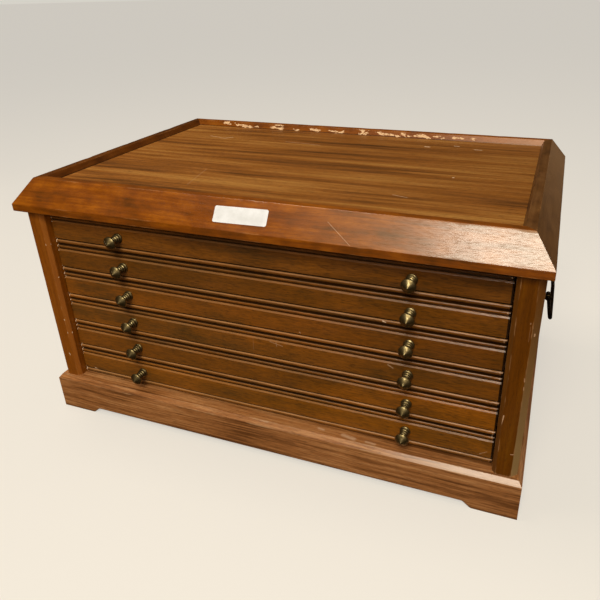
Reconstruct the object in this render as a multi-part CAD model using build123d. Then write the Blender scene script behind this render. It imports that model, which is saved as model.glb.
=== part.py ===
from build123d import *
import math
import os

# A table-top medal cabinet: six shallow drawers with turned brass knobs, in a mahogany case
# with corner posts, a bracket plinth, a bevelled cornice round a sunk top, and a drop handle
# on each side.
# Sizes are in millimetres. x runs to the right, y to the back and z up. While the pieces are
# made, y is 0 at the front faces of the corner posts. At the end the whole cabinet moves so
# that the origin is at the middle of its bounding box, on the floor.

# Case
case_width = 478.0
case_depth = 311.0
side_thickness = 12.0
back_thickness = 12.0
back_rebate = 6.0
bottom_thickness = 8.0
sub_top_thickness = 16.0
sub_top_drop = 4.8

# Corner posts
post_width = 21.0
post_depth = 18.0
post_outer_chamfer = 5.2
post_inner_chamfer = 3.3
tongue_depth = 5.0
tongue_thickness = 4.0

# Plinth
plinth_height = 41.0
plinth_projection = 5.2
plinth_thickness = 20.0
plinth_bevel_run = 3.5
plinth_bevel_rise = 4.3
bottom_seat = 6.0
foot_length = 40.0
foot_cut_height = 6.4
foot_cut_run = 7.4
block_leg = 26.0
block_lift = 3.0

# Cornice and sunk top panel
cornice_front_overhang = 6.7
cornice_side_overhang = 4.5
cornice_fillet = 7.0
cornice_bevel_run = 16.6
cornice_bevel_rise = 22.4
cornice_ledge = 7.8
lip_slope_run = 2.6
tray_depth = 6.2
panel_thickness = 12.0
panel_tongue = 4.5
arris_round = 0.6

# Drawers
drawer_count = 6
drawer_pitch = 30.25
front_gap = 1.9
end_gap = 1.2
lowest_gap = 1.8
highest_gap = 2.8
face_setback = 9.4
front_thickness = 12.0
drawer_back_gap = 2.0

# Moulding on a drawer front
low_bead = 4.0
quirk_width = 1.4
quirk_depth = 1.7
top_bead = 2.8
groove_width = 1.6
groove_depth = 2.4
arris_rise = 1.4
arris_depth = 1.1

# Drawer box
wall_thickness = 7.0
wall_height = 22.0
wall_lap = 5.0
drawer_bottom_thickness = 3.0
drawer_bottom_lift = 1.5
groove_in_wall = 2.5
lining_thickness = 1.5
lining_gap = 0.4

# Runners that carry the drawers
runner_width = 6.0
runner_height = 4.0
runner_lift = 0.7
runner_back_gap = 4.0
slide_clearance = 0.3
stop_clearance = 0.3
pin_radius = 0.7
pin_head_radius = 1.3
pin_head_depth = 0.6
pin_length = 13.0
pins_per_runner = 2
pin_inset = 40.0

# Turned brass knobs: length out from the drawer front and radius of the head
knob_offset = 140.0
knob_rise = 0.5
knob_length = 17.0
knob_head_radius = 6.3
knob_shank_radius = 1.9
knob_nut_radius = 3.6
knob_nut_thickness = 2.4
knob_shank_spare = 1.0
shank_fit = 0.05
# Outline of the knob as (share of head radius, share of length), from the rose to the tip
knob_outline_shares = [
    (0.79, 0.0), (0.79, 0.05), (0.73, 0.09), (0.58, 0.12), (0.56, 0.14), (0.65, 0.17),
    (0.69, 0.20), (0.65, 0.23), (0.54, 0.26), (0.52, 0.28), (0.59, 0.31), (0.62, 0.335),
    (0.59, 0.36), (0.48, 0.39), (0.46, 0.41), (0.53, 0.44), (0.56, 0.46), (0.53, 0.48),
    (0.45, 0.51), (0.45, 0.53), (0.58, 0.575), (0.80, 0.625), (0.95, 0.67), (1.0, 0.71),
    (0.99, 0.745), (0.92, 0.78), (0.66, 0.845), (0.36, 0.91), (0.16, 0.955), (0.07, 0.985),
    (0.0, 1.0)]

# Drop handles
pivot_height = 160.0
pivot_standoff = 4.5
eye_spacing = 93.0
eye_radius = 3.0
eye_thickness = 4.0
eye_shank_radius = 1.9
eye_shank_length = 9.0
rose_radius = 7.0
rose_thickness = 1.4
rose_bevel = 0.6
bail_arm_inset = 6.8
bail_drop = 27.2
bail_rod_radius = 1.9
bail_corner_radius = 6.5
bail_pin_radius = 1.5
bail_pin_fit = 0.08
bail_pin_spare = 0.9
bail_lean = 10.6
bail_boss_extra = 0.35

# Screws
screw_radius = 1.6
screw_head_radius = 2.9
screw_head_depth = 2.0
back_screw_length = 34.0
back_screws_per_side = 4
back_screw_inset = 22.0
top_screw_length = 24.0
top_screw_inset = 60.0
top_screw_row_share = 0.5

# Blank paper label on the front bevel
label_width = 49.2
label_height = 14.3
label_thickness = 0.2
label_corner = 1.6
label_shift = -3.5
label_turn = 1.2

# Every cut runs past what it cuts by this much
overrun = 5.0

# Sizes that follow from the ones above
half_width = case_width / 2
front_height = drawer_pitch - front_gap
stack_height = drawer_count * drawer_pitch - front_gap
case_height = lowest_gap + stack_height + highest_gap + sub_top_drop
case_top = plinth_height + case_height
cornice_height = cornice_fillet + cornice_bevel_rise
total_height = case_top + cornice_height
panel_top = total_height - tray_depth
panel_underside = panel_top - panel_thickness
sub_top_underside = case_top - sub_top_drop
sub_top_upper = sub_top_underside + sub_top_thickness
liner_thickness = post_width - side_thickness
inner_half = half_width - post_width
inner_back = case_depth - back_thickness
soffit = cornice_side_overhang + side_thickness
lip_width = cornice_bevel_run + cornice_ledge + lip_slope_run
drawer_width = 2 * (inner_half - end_gap)
drawer_back = inner_back - drawer_back_gap
front_back_face = face_setback + front_thickness
wall_lift = runner_lift + runner_height + slide_clearance
cornice_width = case_width + 2 * cornice_side_overhang
cornice_depth = case_depth + cornice_front_overhang + cornice_side_overhang
plinth_width = case_width + 2 * plinth_projection
plinth_depth = case_depth + 2 * plinth_projection
handle_y = case_depth / 2

# The knob tips, the plinth and the cornice set how far the cabinet reaches front and back
front_reach = min(face_setback - knob_length, -cornice_front_overhang, -plinth_projection)
back_reach = case_depth + max(cornice_side_overhang, plinth_projection)
centre_shift = -(front_reach + back_reach) / 2

sides = (("left", -1), ("right", 1))


def block(x0, x1, y0, y1, z0, z1):
    """A box between two corners."""
    return Pos(x0, y0, z0) * Box(x1 - x0, y1 - y0, z1 - z0, align=(Align.MIN,) * 3)


def both_ends(x0, x1, hand):
    """Low and high x of a piece on the right, or of its mirror image on the left."""
    return (x0, x1) if hand > 0 else (-x1, -x0)


def rod(radius, start, end):
    """A round rod from one point to another."""
    line = Vector(*end) - Vector(*start)
    return extrude(Plane(origin=start, z_dir=line) * Circle(radius), line.length)


def screw_along(start, direction, length, radius, head_radius, head_depth):
    """A countersunk screw whose head is flush with its start point."""
    plane = Plane(origin=start, z_dir=direction)
    head = loft([plane * Circle(head_radius), plane.offset(head_depth) * Circle(radius)])
    return head + extrude(plane * Circle(radius), length)


def section_face(points, rounded):
    """A face in the (in from the outside, up) plane, with the chosen corners eased."""
    sketch = make_face(Polyline(*points, close=True))
    chosen = [v for v in sketch.vertices()
              if any(math.dist((v.X, v.Y), corner) < arris_round for corner in rounded)]
    return fillet(chosen, arris_round) if chosen else sketch


def mitred_frame(section, width, depth, front_y):
    """Four rails of one section, mitred at the corners, for a frame of the given outside."""
    rails = {}
    centre_y = front_y + depth / 2
    reach = width + depth
    places = (("front", width, depth, 0), ("right", depth, width, 90),
              ("back", width, depth, 180), ("left", depth, width, 270))
    for name, length, across, turn in places:
        plane = Plane(origin=(-length / 2, -across / 2, 0), x_dir=(0, 1, 0), z_dir=(1, 0, 0))
        rail = extrude(plane * section, length)
        for end in (-1, 1):
            corner = (end * length / 2, -across / 2)
            outline = Polyline((corner[0] + end * overrun, corner[1] - overrun),
                               (corner[0] - end * reach, corner[1] + reach),
                               (corner[0] + end * overrun, corner[1] + reach), close=True)
            wedge = Pos(0, 0, -overrun) * extrude(make_face(outline), total_height + 2 * overrun)
            rail = rail - wedge
        rails[name] = Pos(0, centre_y, 0) * Rot(0, 0, turn) * rail
    return rails


def plinth_rails():
    """Bracket plinth: bevelled top edge, seat for the bottom board, and low foot cut-outs."""
    bevel_foot = plinth_height - plinth_bevel_rise
    seat_height = plinth_height - bottom_thickness
    seat_start = plinth_thickness - bottom_seat
    points = [(0, 0), (0, bevel_foot), (plinth_bevel_run, plinth_height),
              (seat_start, plinth_height), (seat_start, seat_height),
              (plinth_thickness, seat_height), (plinth_thickness, 0)]
    rounded = [(0, bevel_foot), (plinth_bevel_run, plinth_height)]
    rails = mitred_frame(section_face(points, rounded), plinth_width, plinth_depth,
                         -plinth_projection)
    middle = Vector(0, case_depth / 2, 0)
    for name, rail in rails.items():
        long_way = name in ("front", "back")
        half = (plinth_width if long_way else plinth_depth) / 2 - foot_length
        across = (plinth_depth if long_way else plinth_width) / 2 + overrun
        low = half + foot_cut_run * overrun / foot_cut_height
        outline = Polyline((-low, -overrun), (-half + foot_cut_run, foot_cut_height),
                           (half - foot_cut_run, foot_cut_height), (low, -overrun), close=True)
        turn = 0 if long_way else 90
        cut = extrude(Plane.XZ * make_face(outline), across, both=True)
        rails[name] = rail - Pos(middle) * Rot(0, 0, turn) * cut
    return rails


def glue_blocks():
    """Four three-cornered blocks in the inner corners of the plinth."""
    x = plinth_width / 2 - plinth_thickness
    front = -plinth_projection + plinth_thickness
    back = case_depth + plinth_projection - plinth_thickness
    low = foot_cut_height + block_lift
    high = plinth_height - bottom_thickness
    blocks = []
    for across in (-1, 1):
        for y, inward in ((front, 1), (back, -1)):
            outline = Polyline((across * x, y), (across * (x - block_leg), y),
                               (across * x, y + inward * block_leg), close=True)
            blocks.append(Pos(0, 0, low) * extrude(make_face(outline), high - low))
    return blocks


def bottom_board():
    """Lies in the seat of the plinth rails, flush with their top."""
    half = plinth_width / 2 - plinth_thickness + bottom_seat
    inset = plinth_thickness - bottom_seat - plinth_projection
    return block(-half, half, inset, case_depth - inset,
                 plinth_height - bottom_thickness, plinth_height)


def post(hand):
    """Corner post with a wide outer and a narrow inner chamfer, grooved for the side."""
    x0, x1 = both_ends(inner_half, half_width, hand)
    body = block(x0, x1, 0, post_depth, plinth_height, case_top)
    outer, inner = hand * half_width, hand * inner_half
    for edge, size, way in ((outer, post_outer_chamfer, -hand), (inner, post_inner_chamfer, hand)):
        past = size + overrun
        outline = Polyline((edge - way * overrun, -overrun), (edge + way * past, -overrun),
                           (edge - way * overrun, past), close=True)
        cut = Pos(0, 0, plinth_height - overrun) * extrude(make_face(outline),
                                                           case_height + 2 * overrun)
        body = body - cut
    return body - side_tongue(hand)


def side_tongue(hand):
    """Tongue along the front edge of a side, let into the post."""
    inset = (side_thickness - tongue_thickness) / 2
    x0, x1 = both_ends(half_width - inset - tongue_thickness, half_width - inset, hand)
    return block(x0, x1, post_depth - tongue_depth, post_depth, plinth_height, case_top)


def side_board(hand):
    """Side of the case, rebated for the back and bored for the handle's eye bolts."""
    x0, x1 = both_ends(half_width - side_thickness, half_width, hand)
    board = block(x0, x1, post_depth, case_depth, plinth_height, case_top) + side_tongue(hand)
    inner = half_width - side_thickness
    r0, r1 = both_ends(inner - overrun, inner + back_rebate, hand)
    board = board - block(r0, r1, inner_back, case_depth + overrun,
                          plinth_height - overrun, case_top + overrun)
    for y in eye_places():
        board = board - eye_shank(hand, y)
    for cut in back_screws():
        board = board - cut
    return board


def liner(hand):
    """Board that packs the side out to the inner face of the post."""
    x0, x1 = both_ends(inner_half, half_width - side_thickness, hand)
    board = block(x0, x1, post_depth, inner_back, plinth_height, sub_top_underside)
    for pin in runner_pins(hand):
        board = board - pin
    return board


def drawer_base(number):
    """Height of the underside of a drawer front. Drawer 1 is at the top."""
    return plinth_height + lowest_gap + (drawer_count - number) * drawer_pitch


def runners(hand):
    """One strip for each drawer, which carries the lower edge of its side."""
    x0, x1 = both_ends(inner_half - runner_width, inner_half, hand)
    strips = []
    for number in range(1, drawer_count + 1):
        z0 = drawer_base(number) + runner_lift
        strip = block(x0, x1, front_back_face + stop_clearance, inner_back - runner_back_gap,
                      z0, z0 + runner_height)
        for pin in runner_pins(hand, (number,)):
            strip = strip - pin
        strips.append(strip)
    return strips


def runner_pins(hand, numbers=range(1, drawer_count + 1)):
    """Panel pins through the runners into the liner."""
    start_y = front_back_face + stop_clearance + pin_inset
    end_y = inner_back - runner_back_gap - pin_inset
    step = (end_y - start_y) / (pins_per_runner - 1)
    pins = []
    for number in numbers:
        z = drawer_base(number) + runner_lift + runner_height / 2
        for turn in range(pins_per_runner):
            start = (hand * (inner_half - runner_width), start_y + turn * step, z)
            pins.append(screw_along(start, (hand, 0, 0), pin_length, pin_radius,
                                    pin_head_radius, pin_head_depth))
    return pins


def sub_top():
    """Board over the drawers, notched round the posts; the cornice is screwed to it."""
    half = half_width - side_thickness
    board = block(-half, half, soffit - cornice_front_overhang, inner_back,
                  sub_top_underside, sub_top_upper)
    for hand in (-1, 1):
        x0, x1 = both_ends(inner_half, half + overrun, hand)
        board = board - block(x0, x1, -overrun, post_depth,
                              sub_top_underside - overrun, case_top)
    for screw in top_screws():
        board = board - screw
    return board


def top_panel():
    """Sunk panel of the top, held under the lip of the cornice."""
    inset = lip_width - panel_tongue
    half = cornice_width / 2 - inset
    return block(-half, half, inset - cornice_front_overhang,
                 case_depth + cornice_side_overhang - inset, panel_underside, panel_top)


def cornice_rails():
    """Bevelled cornice: fillet, wide bevel, flat ledge and a lip round the sunk panel."""
    bevel_foot = case_top + cornice_fillet
    ledge_start = cornice_bevel_run
    ledge_end = ledge_start + cornice_ledge
    seat = lip_width - panel_tongue
    points = [(0, case_top), (0, bevel_foot), (ledge_start, total_height),
              (ledge_end, total_height), (lip_width, panel_top), (seat, panel_top),
              (seat, sub_top_upper), (soffit, sub_top_upper), (soffit, case_top)]
    rounded = [(0, case_top), (0, bevel_foot), (ledge_start, total_height),
               (ledge_end, total_height)]
    rails = mitred_frame(section_face(points, rounded), cornice_width, cornice_depth,
                         -cornice_front_overhang)
    for name in rails:
        for screw in top_screws():
            rails[name] = rails[name] - screw
    return rails


def top_screws():
    """Screws up through the sub-top into the cornice, along the strip where they meet."""
    seat = lip_width - panel_tongue
    strip = soffit + (seat - soffit) * top_screw_row_share
    front = strip - cornice_front_overhang
    back = case_depth + cornice_side_overhang - strip
    across = cornice_width / 2 - strip
    reach = half_width - top_screw_inset
    spots = [(x, y) for y in (front, back) for x in (-reach, 0, reach)]
    spots += [(x, case_depth / 2) for x in (-across, across)]
    return [screw_along((x, y, sub_top_underside), (0, 0, 1), top_screw_length,
                        screw_radius, screw_head_radius, screw_head_depth) for x, y in spots]


def back_board():
    """Back of the case, let into the rebates of the sides."""
    half = half_width - side_thickness + back_rebate
    board = block(-half, half, inner_back, case_depth, plinth_height, case_top)
    for screw in back_screws():
        board = board - screw
    return board


def back_screws():
    """Countersunk screws through the back into the rebated edges of the sides."""
    x = half_width - side_thickness + back_rebate / 2
    span = case_height - 2 * back_screw_inset
    step = span / (back_screws_per_side - 1)
    return [screw_along((hand * x, case_depth, plinth_height + back_screw_inset + turn * step),
                        (0, -1, 0), back_screw_length, screw_radius, screw_head_radius,
                        screw_head_depth)
            for hand in (-1, 1) for turn in range(back_screws_per_side)]


def drawer_front_section():
    """Outline of a drawer front: low bead, quirk, flat field, arris, groove and top bead."""
    low_radius = low_bead / 2
    top_radius = top_bead / 2
    quirk_top = low_bead + quirk_width
    bead_foot = front_height - top_bead
    field_top = bead_foot - groove_width - arris_rise
    with BuildSketch() as sketch:
        with BuildLine():
            Polyline((front_thickness, 0), (low_radius, 0))
            ThreePointArc((low_radius, 0), (0, low_radius), (low_radius, low_bead))
            Polyline((low_radius, low_bead), (quirk_depth + low_radius, low_bead),
                     (quirk_depth + low_radius, quirk_top), (0, quirk_top), (0, field_top),
                     (arris_depth, field_top + arris_rise),
                     (groove_depth, field_top + arris_rise), (groove_depth, bead_foot),
                     (top_radius, bead_foot))
            ThreePointArc((top_radius, bead_foot), (0, bead_foot + top_radius),
                          (top_radius, front_height))
            Polyline((top_radius, front_height), (front_thickness, front_height),
                     (front_thickness, 0))
        make_face()
    return sketch.sketch


def drawer_front(base):
    """Moulded front, housed at its ends for the side walls and grooved for the bottom."""
    plane = Plane(origin=(-drawer_width / 2, face_setback, base), x_dir=(0, 1, 0),
                  z_dir=(1, 0, 0))
    front = extrude(plane * drawer_front_section(), drawer_width)
    for wall in drawer_side_walls(base):
        front = front - wall
    front = front - drawer_bottom(base)
    for hand in (-1, 1):
        front = front - knob_hole(hand * knob_offset, base)
    return front


def drawer_side_walls(base):
    """The two side walls as plain boards."""
    z0 = base + wall_lift
    outer = drawer_width / 2
    walls = []
    for hand in (-1, 1):
        x0, x1 = both_ends(outer - wall_thickness, outer, hand)
        walls.append(block(x0, x1, front_back_face - wall_lap, drawer_back,
                           z0, z0 + wall_height))
    return walls


def drawer_walls(base):
    """Side walls and back wall, grooved for the bottom."""
    z0 = base + wall_lift
    inner = drawer_width / 2 - wall_thickness
    walls = drawer_side_walls(base)
    walls.append(block(-inner, inner, drawer_back - wall_thickness, drawer_back,
                       z0, z0 + wall_height))
    bottom = drawer_bottom(base)
    return [wall - bottom for wall in walls]


def drawer_bottom(base):
    """Thin panel held in the grooves of the walls and the front."""
    z0 = base + wall_lift + drawer_bottom_lift
    half = drawer_width / 2 - wall_thickness + groove_in_wall
    return block(-half, half, front_back_face - groove_in_wall,
                 drawer_back - wall_thickness + groove_in_wall,
                 z0, z0 + drawer_bottom_thickness)


def drawer_lining(base):
    """Baize that lines the inside of a drawer."""
    z0 = base + wall_lift + drawer_bottom_lift + drawer_bottom_thickness
    half = drawer_width / 2 - wall_thickness - lining_gap
    return block(-half, half, front_back_face + lining_gap,
                 drawer_back - wall_thickness - lining_gap, z0, z0 + lining_thickness)


def knob_height(base):
    """The knobs sit a little above half the height of the front."""
    return base + front_height / 2 + knob_rise


def knob_hole(x, base):
    """Hole through the front for a knob's shank."""
    z = knob_height(base)
    return rod(knob_shank_radius + shank_fit, (x, face_setback - overrun, z),
               (x, front_back_face + overrun, z))


def knob(x, base):
    """Turned knob with its rose and shank in one piece."""
    z = knob_height(base)
    outline = [(r * knob_head_radius, -t * knob_length) for r, t in knob_outline_shares]
    turned = make_face(Polyline(*outline, (0, 0), close=True))
    body = Pos(x, face_setback, z) * revolve(turned, Axis.Y)
    end = front_back_face + knob_nut_thickness + knob_shank_spare
    return body + rod(knob_shank_radius, (x, face_setback, z), (x, end, z))


def knob_nut(x, base):
    """Six-sided nut on the shank, inside the drawer."""
    plane = Plane(origin=(x, front_back_face, knob_height(base)), z_dir=(0, 1, 0))
    ring = plane * (RegularPolygon(knob_nut_radius, 6) - Circle(knob_shank_radius))
    return extrude(ring, knob_nut_thickness)


def knobs(base):
    """Two knobs and their nuts."""
    pieces = []
    for hand in (-1, 1):
        pieces += [knob(hand * knob_offset, base), knob_nut(hand * knob_offset, base)]
    return pieces


def eye_places():
    """Where the two eye bolts of a handle stand along the side."""
    return (handle_y - eye_spacing / 2, handle_y + eye_spacing / 2)


def eye_shank(hand, y):
    """Shank of an eye bolt, from inside the side to the eye."""
    pivot = half_width + pivot_standoff
    return rod(eye_shank_radius, (hand * (half_width - eye_shank_length), y, pivot_height),
               (hand * pivot, y, pivot_height))


def eye_bolt(hand, y):
    """Eye bolt whose hole carries a pin of the bail."""
    x = hand * (half_width + pivot_standoff)
    start = (x, y - eye_thickness / 2, pivot_height)
    end = (x, y + eye_thickness / 2, pivot_height)
    eye = rod(eye_radius, start, end) + eye_shank(hand, y)
    hole_start = (x, y - eye_thickness / 2 - overrun, pivot_height)
    hole_end = (x, y + eye_thickness / 2 + overrun, pivot_height)
    return eye - rod(bail_pin_radius + bail_pin_fit, hole_start, hole_end)


def rose(hand, y):
    """Round plate between an eye bolt and the side, with a bevelled rim."""
    plane = Plane(origin=(hand * half_width, y, pivot_height), z_dir=(hand, 0, 0))
    flat = rose_thickness - rose_bevel
    disc = extrude(plane * Circle(rose_radius), flat)
    crown = loft([plane.offset(flat) * Circle(rose_radius),
                  plane.offset(rose_thickness) * Circle(rose_radius - rose_bevel)])
    return disc + crown - eye_shank(hand, y)


def bail(hand):
    """Bent rod that hangs from two pins, its bar a little away from the side."""
    arm_y = eye_spacing / 2 - bail_arm_inset
    pin_end = eye_spacing / 2 + eye_thickness / 2 + bail_pin_spare
    path = FilletPolyline((0, arm_y, 0), (0, arm_y, -bail_drop), (0, -arm_y, -bail_drop),
                          (0, -arm_y, 0), radius=bail_corner_radius)
    start = Plane(origin=(0, arm_y, 0), z_dir=(0, 0, -1))
    handle = sweep(start * Circle(bail_rod_radius), path=path)
    for way in (-1, 1):
        handle = handle + Pos(0, way * arm_y, 0) * Sphere(bail_rod_radius + bail_boss_extra)
        handle = handle + rod(bail_pin_radius, (0, way * arm_y, 0), (0, way * pin_end, 0))
    pivot = Pos(hand * (half_width + pivot_standoff), handle_y, pivot_height)
    return pivot * Rot(0, -hand * bail_lean, 0) * handle


def label():
    """Blank paper label stuck on the bevel of the front rail."""
    slope = math.degrees(math.atan2(cornice_bevel_rise, cornice_bevel_run))
    middle_y = -cornice_front_overhang + cornice_bevel_run / 2
    middle_z = case_top + cornice_fillet + cornice_bevel_rise / 2
    sheet = Rot(0, 0, label_turn) * RectangleRounded(label_width, label_height, label_corner)
    return Pos(label_shift, middle_y, middle_z) * Rot(slope, 0, 0) * extrude(sheet,
                                                                            label_thickness)


def all_nodes():
    """Every node of the cabinet, with the solids that it holds."""
    nodes = {}
    for name, rail in plinth_rails().items():
        nodes["plinth_" + name] = [rail]
    nodes["plinth_glue_blocks"] = glue_blocks()
    nodes["bottom_board"] = [bottom_board()]
    for name, hand in sides:
        nodes["side_" + name] = [side_board(hand)]
        nodes["liner_" + name] = [liner(hand)]
        nodes["post_" + name] = [post(hand)]
        nodes["runners_" + name] = runners(hand)
        nodes["bail_" + name] = [bail(hand)]
    nodes["runner_pins"] = runner_pins(-1) + runner_pins(1)
    nodes["back_board"] = [back_board()]
    nodes["back_screws"] = back_screws()
    nodes["sub_top"] = [sub_top()]
    nodes["top_panel"] = [top_panel()]
    nodes["top_screws"] = top_screws()
    for name, rail in cornice_rails().items():
        nodes["cornice_" + name] = [rail]
    nodes["label"] = [label()]
    places = [(hand, y) for name, hand in sides for y in eye_places()]
    nodes["handle_eye_bolts"] = [eye_bolt(hand, y) for hand, y in places]
    nodes["handle_roses"] = [rose(hand, y) for hand, y in places]
    for number in range(1, drawer_count + 1):
        base = drawer_base(number)
        prefix = "drawer_" + str(number)
        nodes[prefix + "_front"] = [drawer_front(base)]
        nodes[prefix + "_walls"] = drawer_walls(base)
        nodes[prefix + "_bottom"] = [drawer_bottom(base)]
        nodes[prefix + "_lining"] = [drawer_lining(base)]
        nodes[prefix + "_knobs"] = knobs(base)
    return nodes


def single_solids(pieces):
    """The solids of the pieces, moved so that the origin is under the cabinet's middle."""
    found = []
    for piece in pieces:
        found += (Pos(0, centre_shift, 0) * piece).solids()
    return found


os.makedirs("parts", exist_ok=True)
for node, pieces in all_nodes().items():
    export_step(Compound(children=single_solids(pieces)), "parts/" + node + ".step")
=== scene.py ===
import math

import bpy
import numpy as np
from mathutils import Matrix, Vector


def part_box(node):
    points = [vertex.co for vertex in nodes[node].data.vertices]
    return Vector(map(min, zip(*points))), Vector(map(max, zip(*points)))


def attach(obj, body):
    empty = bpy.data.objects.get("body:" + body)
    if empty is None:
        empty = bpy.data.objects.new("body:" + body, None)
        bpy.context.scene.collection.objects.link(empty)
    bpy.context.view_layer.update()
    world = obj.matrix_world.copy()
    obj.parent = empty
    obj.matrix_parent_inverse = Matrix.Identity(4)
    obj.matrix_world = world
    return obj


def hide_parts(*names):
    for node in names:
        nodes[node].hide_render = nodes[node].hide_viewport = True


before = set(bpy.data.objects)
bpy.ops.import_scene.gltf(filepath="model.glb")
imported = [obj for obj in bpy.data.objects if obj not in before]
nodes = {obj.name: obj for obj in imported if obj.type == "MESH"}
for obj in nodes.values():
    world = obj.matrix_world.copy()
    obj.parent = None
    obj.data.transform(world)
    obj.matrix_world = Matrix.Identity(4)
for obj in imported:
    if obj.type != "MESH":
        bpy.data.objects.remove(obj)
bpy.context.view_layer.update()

# Looks of a table-top medal cabinet: mahogany case, six drawers with turned brass knobs, a
# bevelled cornice round a sunk top, and a bronzed drop handle on each side. Lengths in metres.

mm = 0.001
fullTurn = 2 * math.pi
drawerNumbers = range(1, 7)
sideHands = {"left": -1, "right": 1}  # which way along x each side lies


def boxOf(*names):
    # Lowest and highest corner of some CAD nodes taken together
    boxes = np.array([[list(corner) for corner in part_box(name)] for name in names])
    return boxes[:, 0].min(0), boxes[:, 1].max(0)


def hexLinear(text):
    # An sRGB hex colour as linear light
    shown = np.array([int(text[start:start + 2], 16) for start in (1, 3, 5)]) / 255
    linear = np.where(shown <= 0.04045, shown / 12.92, ((shown + 0.055) / 1.055) ** 2.4)
    return (*linear.tolist(), 1.0)


def put(tree, kind, inputs=None, stops=None, **settings):
    # Adds one node with its settings, its colour stops if it is a ramp, and its links or values
    made = tree.nodes.new("ShaderNode" + kind)
    for name, value in settings.items():
        setattr(made, name, value)
    for turn, (spot, colour) in enumerate(stops or ()):
        ramp = made.color_ramp.elements
        element = ramp[turn] if turn < 2 else ramp.new(spot)  # a ramp starts with two stops
        element.position, element.color = spot, colour
    for key, value in (inputs or {}).items():
        if isinstance(value, bpy.types.Node):
            value = value.outputs[2 if value.type == "MIX" else 0]  # a Mix gives colour third
        if isinstance(value, bpy.types.NodeSocket):
            tree.links.new(value, made.inputs[key])
        else:
            made.inputs[key].default_value = value
    return made


def emptyMaterial(name):
    material = bpy.data.materials.new(name)
    material.use_nodes = True
    material.node_tree.nodes.clear()
    return material, material.node_tree


# Mahogany, planed and polished: streaks of growth and fine dark pores lie along the grain, and
# shellac gives a soft sheen that the pores break up. Pores are 0.2 mm wide on the real thing
# and drawn about twice that, so that they show. Widths and lengths are in mm, "layers" are
# (width, length, detail, gain), the shading across is painted light and shade as (x, brightness,
# x, brightness), and "along" is the axis that the grain follows. The last colours are those of
# bare wood, of rubbed arrises with some painted highlight, of painted highlight and glare, and
# of grime with painted shade.
woodLook = {
    "along": 0, "shift": 0.0,
    "dark": "#43210B", "mid": "#7D4B22", "light": "#9A6A38",
    "layers": [(9, 260, 2, 0.8), (2.2, 60, 3, 0.7), (45, 120, 2, 0.7)],
    "poreWidth": 0.5, "poreLength": 6, "poreTone": 0.25, "poreSheen": 0.3,
    "wander": 3, "wanderLength": 150,
    "roughness": 0.34, "roughnessSpread": 0.12, "specular": 0.45,
    "coat": 0.1, "coatRoughness": 0.25, "bump": 0.3, "bumpDepth": 0.15,
    "bare": "#EBCBAA", "rubAndHighlight": "#B98D62", "paintedHighlight": "#B98D62", "grimeAndShade": "#160A03",
    "grimeAndShadeStrength": 0.95, "rubAndHighlightStrength": 0.6, "bareRoughness": 0.3, "bareDepth": 1.5,
    "paintedShading": (-240, 1.0, 240, 1.0), "scratches": [],
}
# Noises of every wood as (width, length, detail, seed), in mm
woodNoises = {"ragged": (0.8, 2.4, 4, 5.1), "streaky": (0.8, 6, 2, 11.1),
              "cloudy": (12, 40, 3, 7.9), "fibrous": (0.7, 9, 2, 15.1)}
# Noise values between which a pore deepens, and sums of field and noise at which bare wood,
# rubbing with painted highlight, and grime with painted shade begin and are complete
poreRange = (0.52, 0.68)
wearAndLightRanges = {"grimeAndShade": (0.6, 1.5), "rubAndHighlight": (0.85, 1.4), "bare": (0.94, 1.02)}


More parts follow.
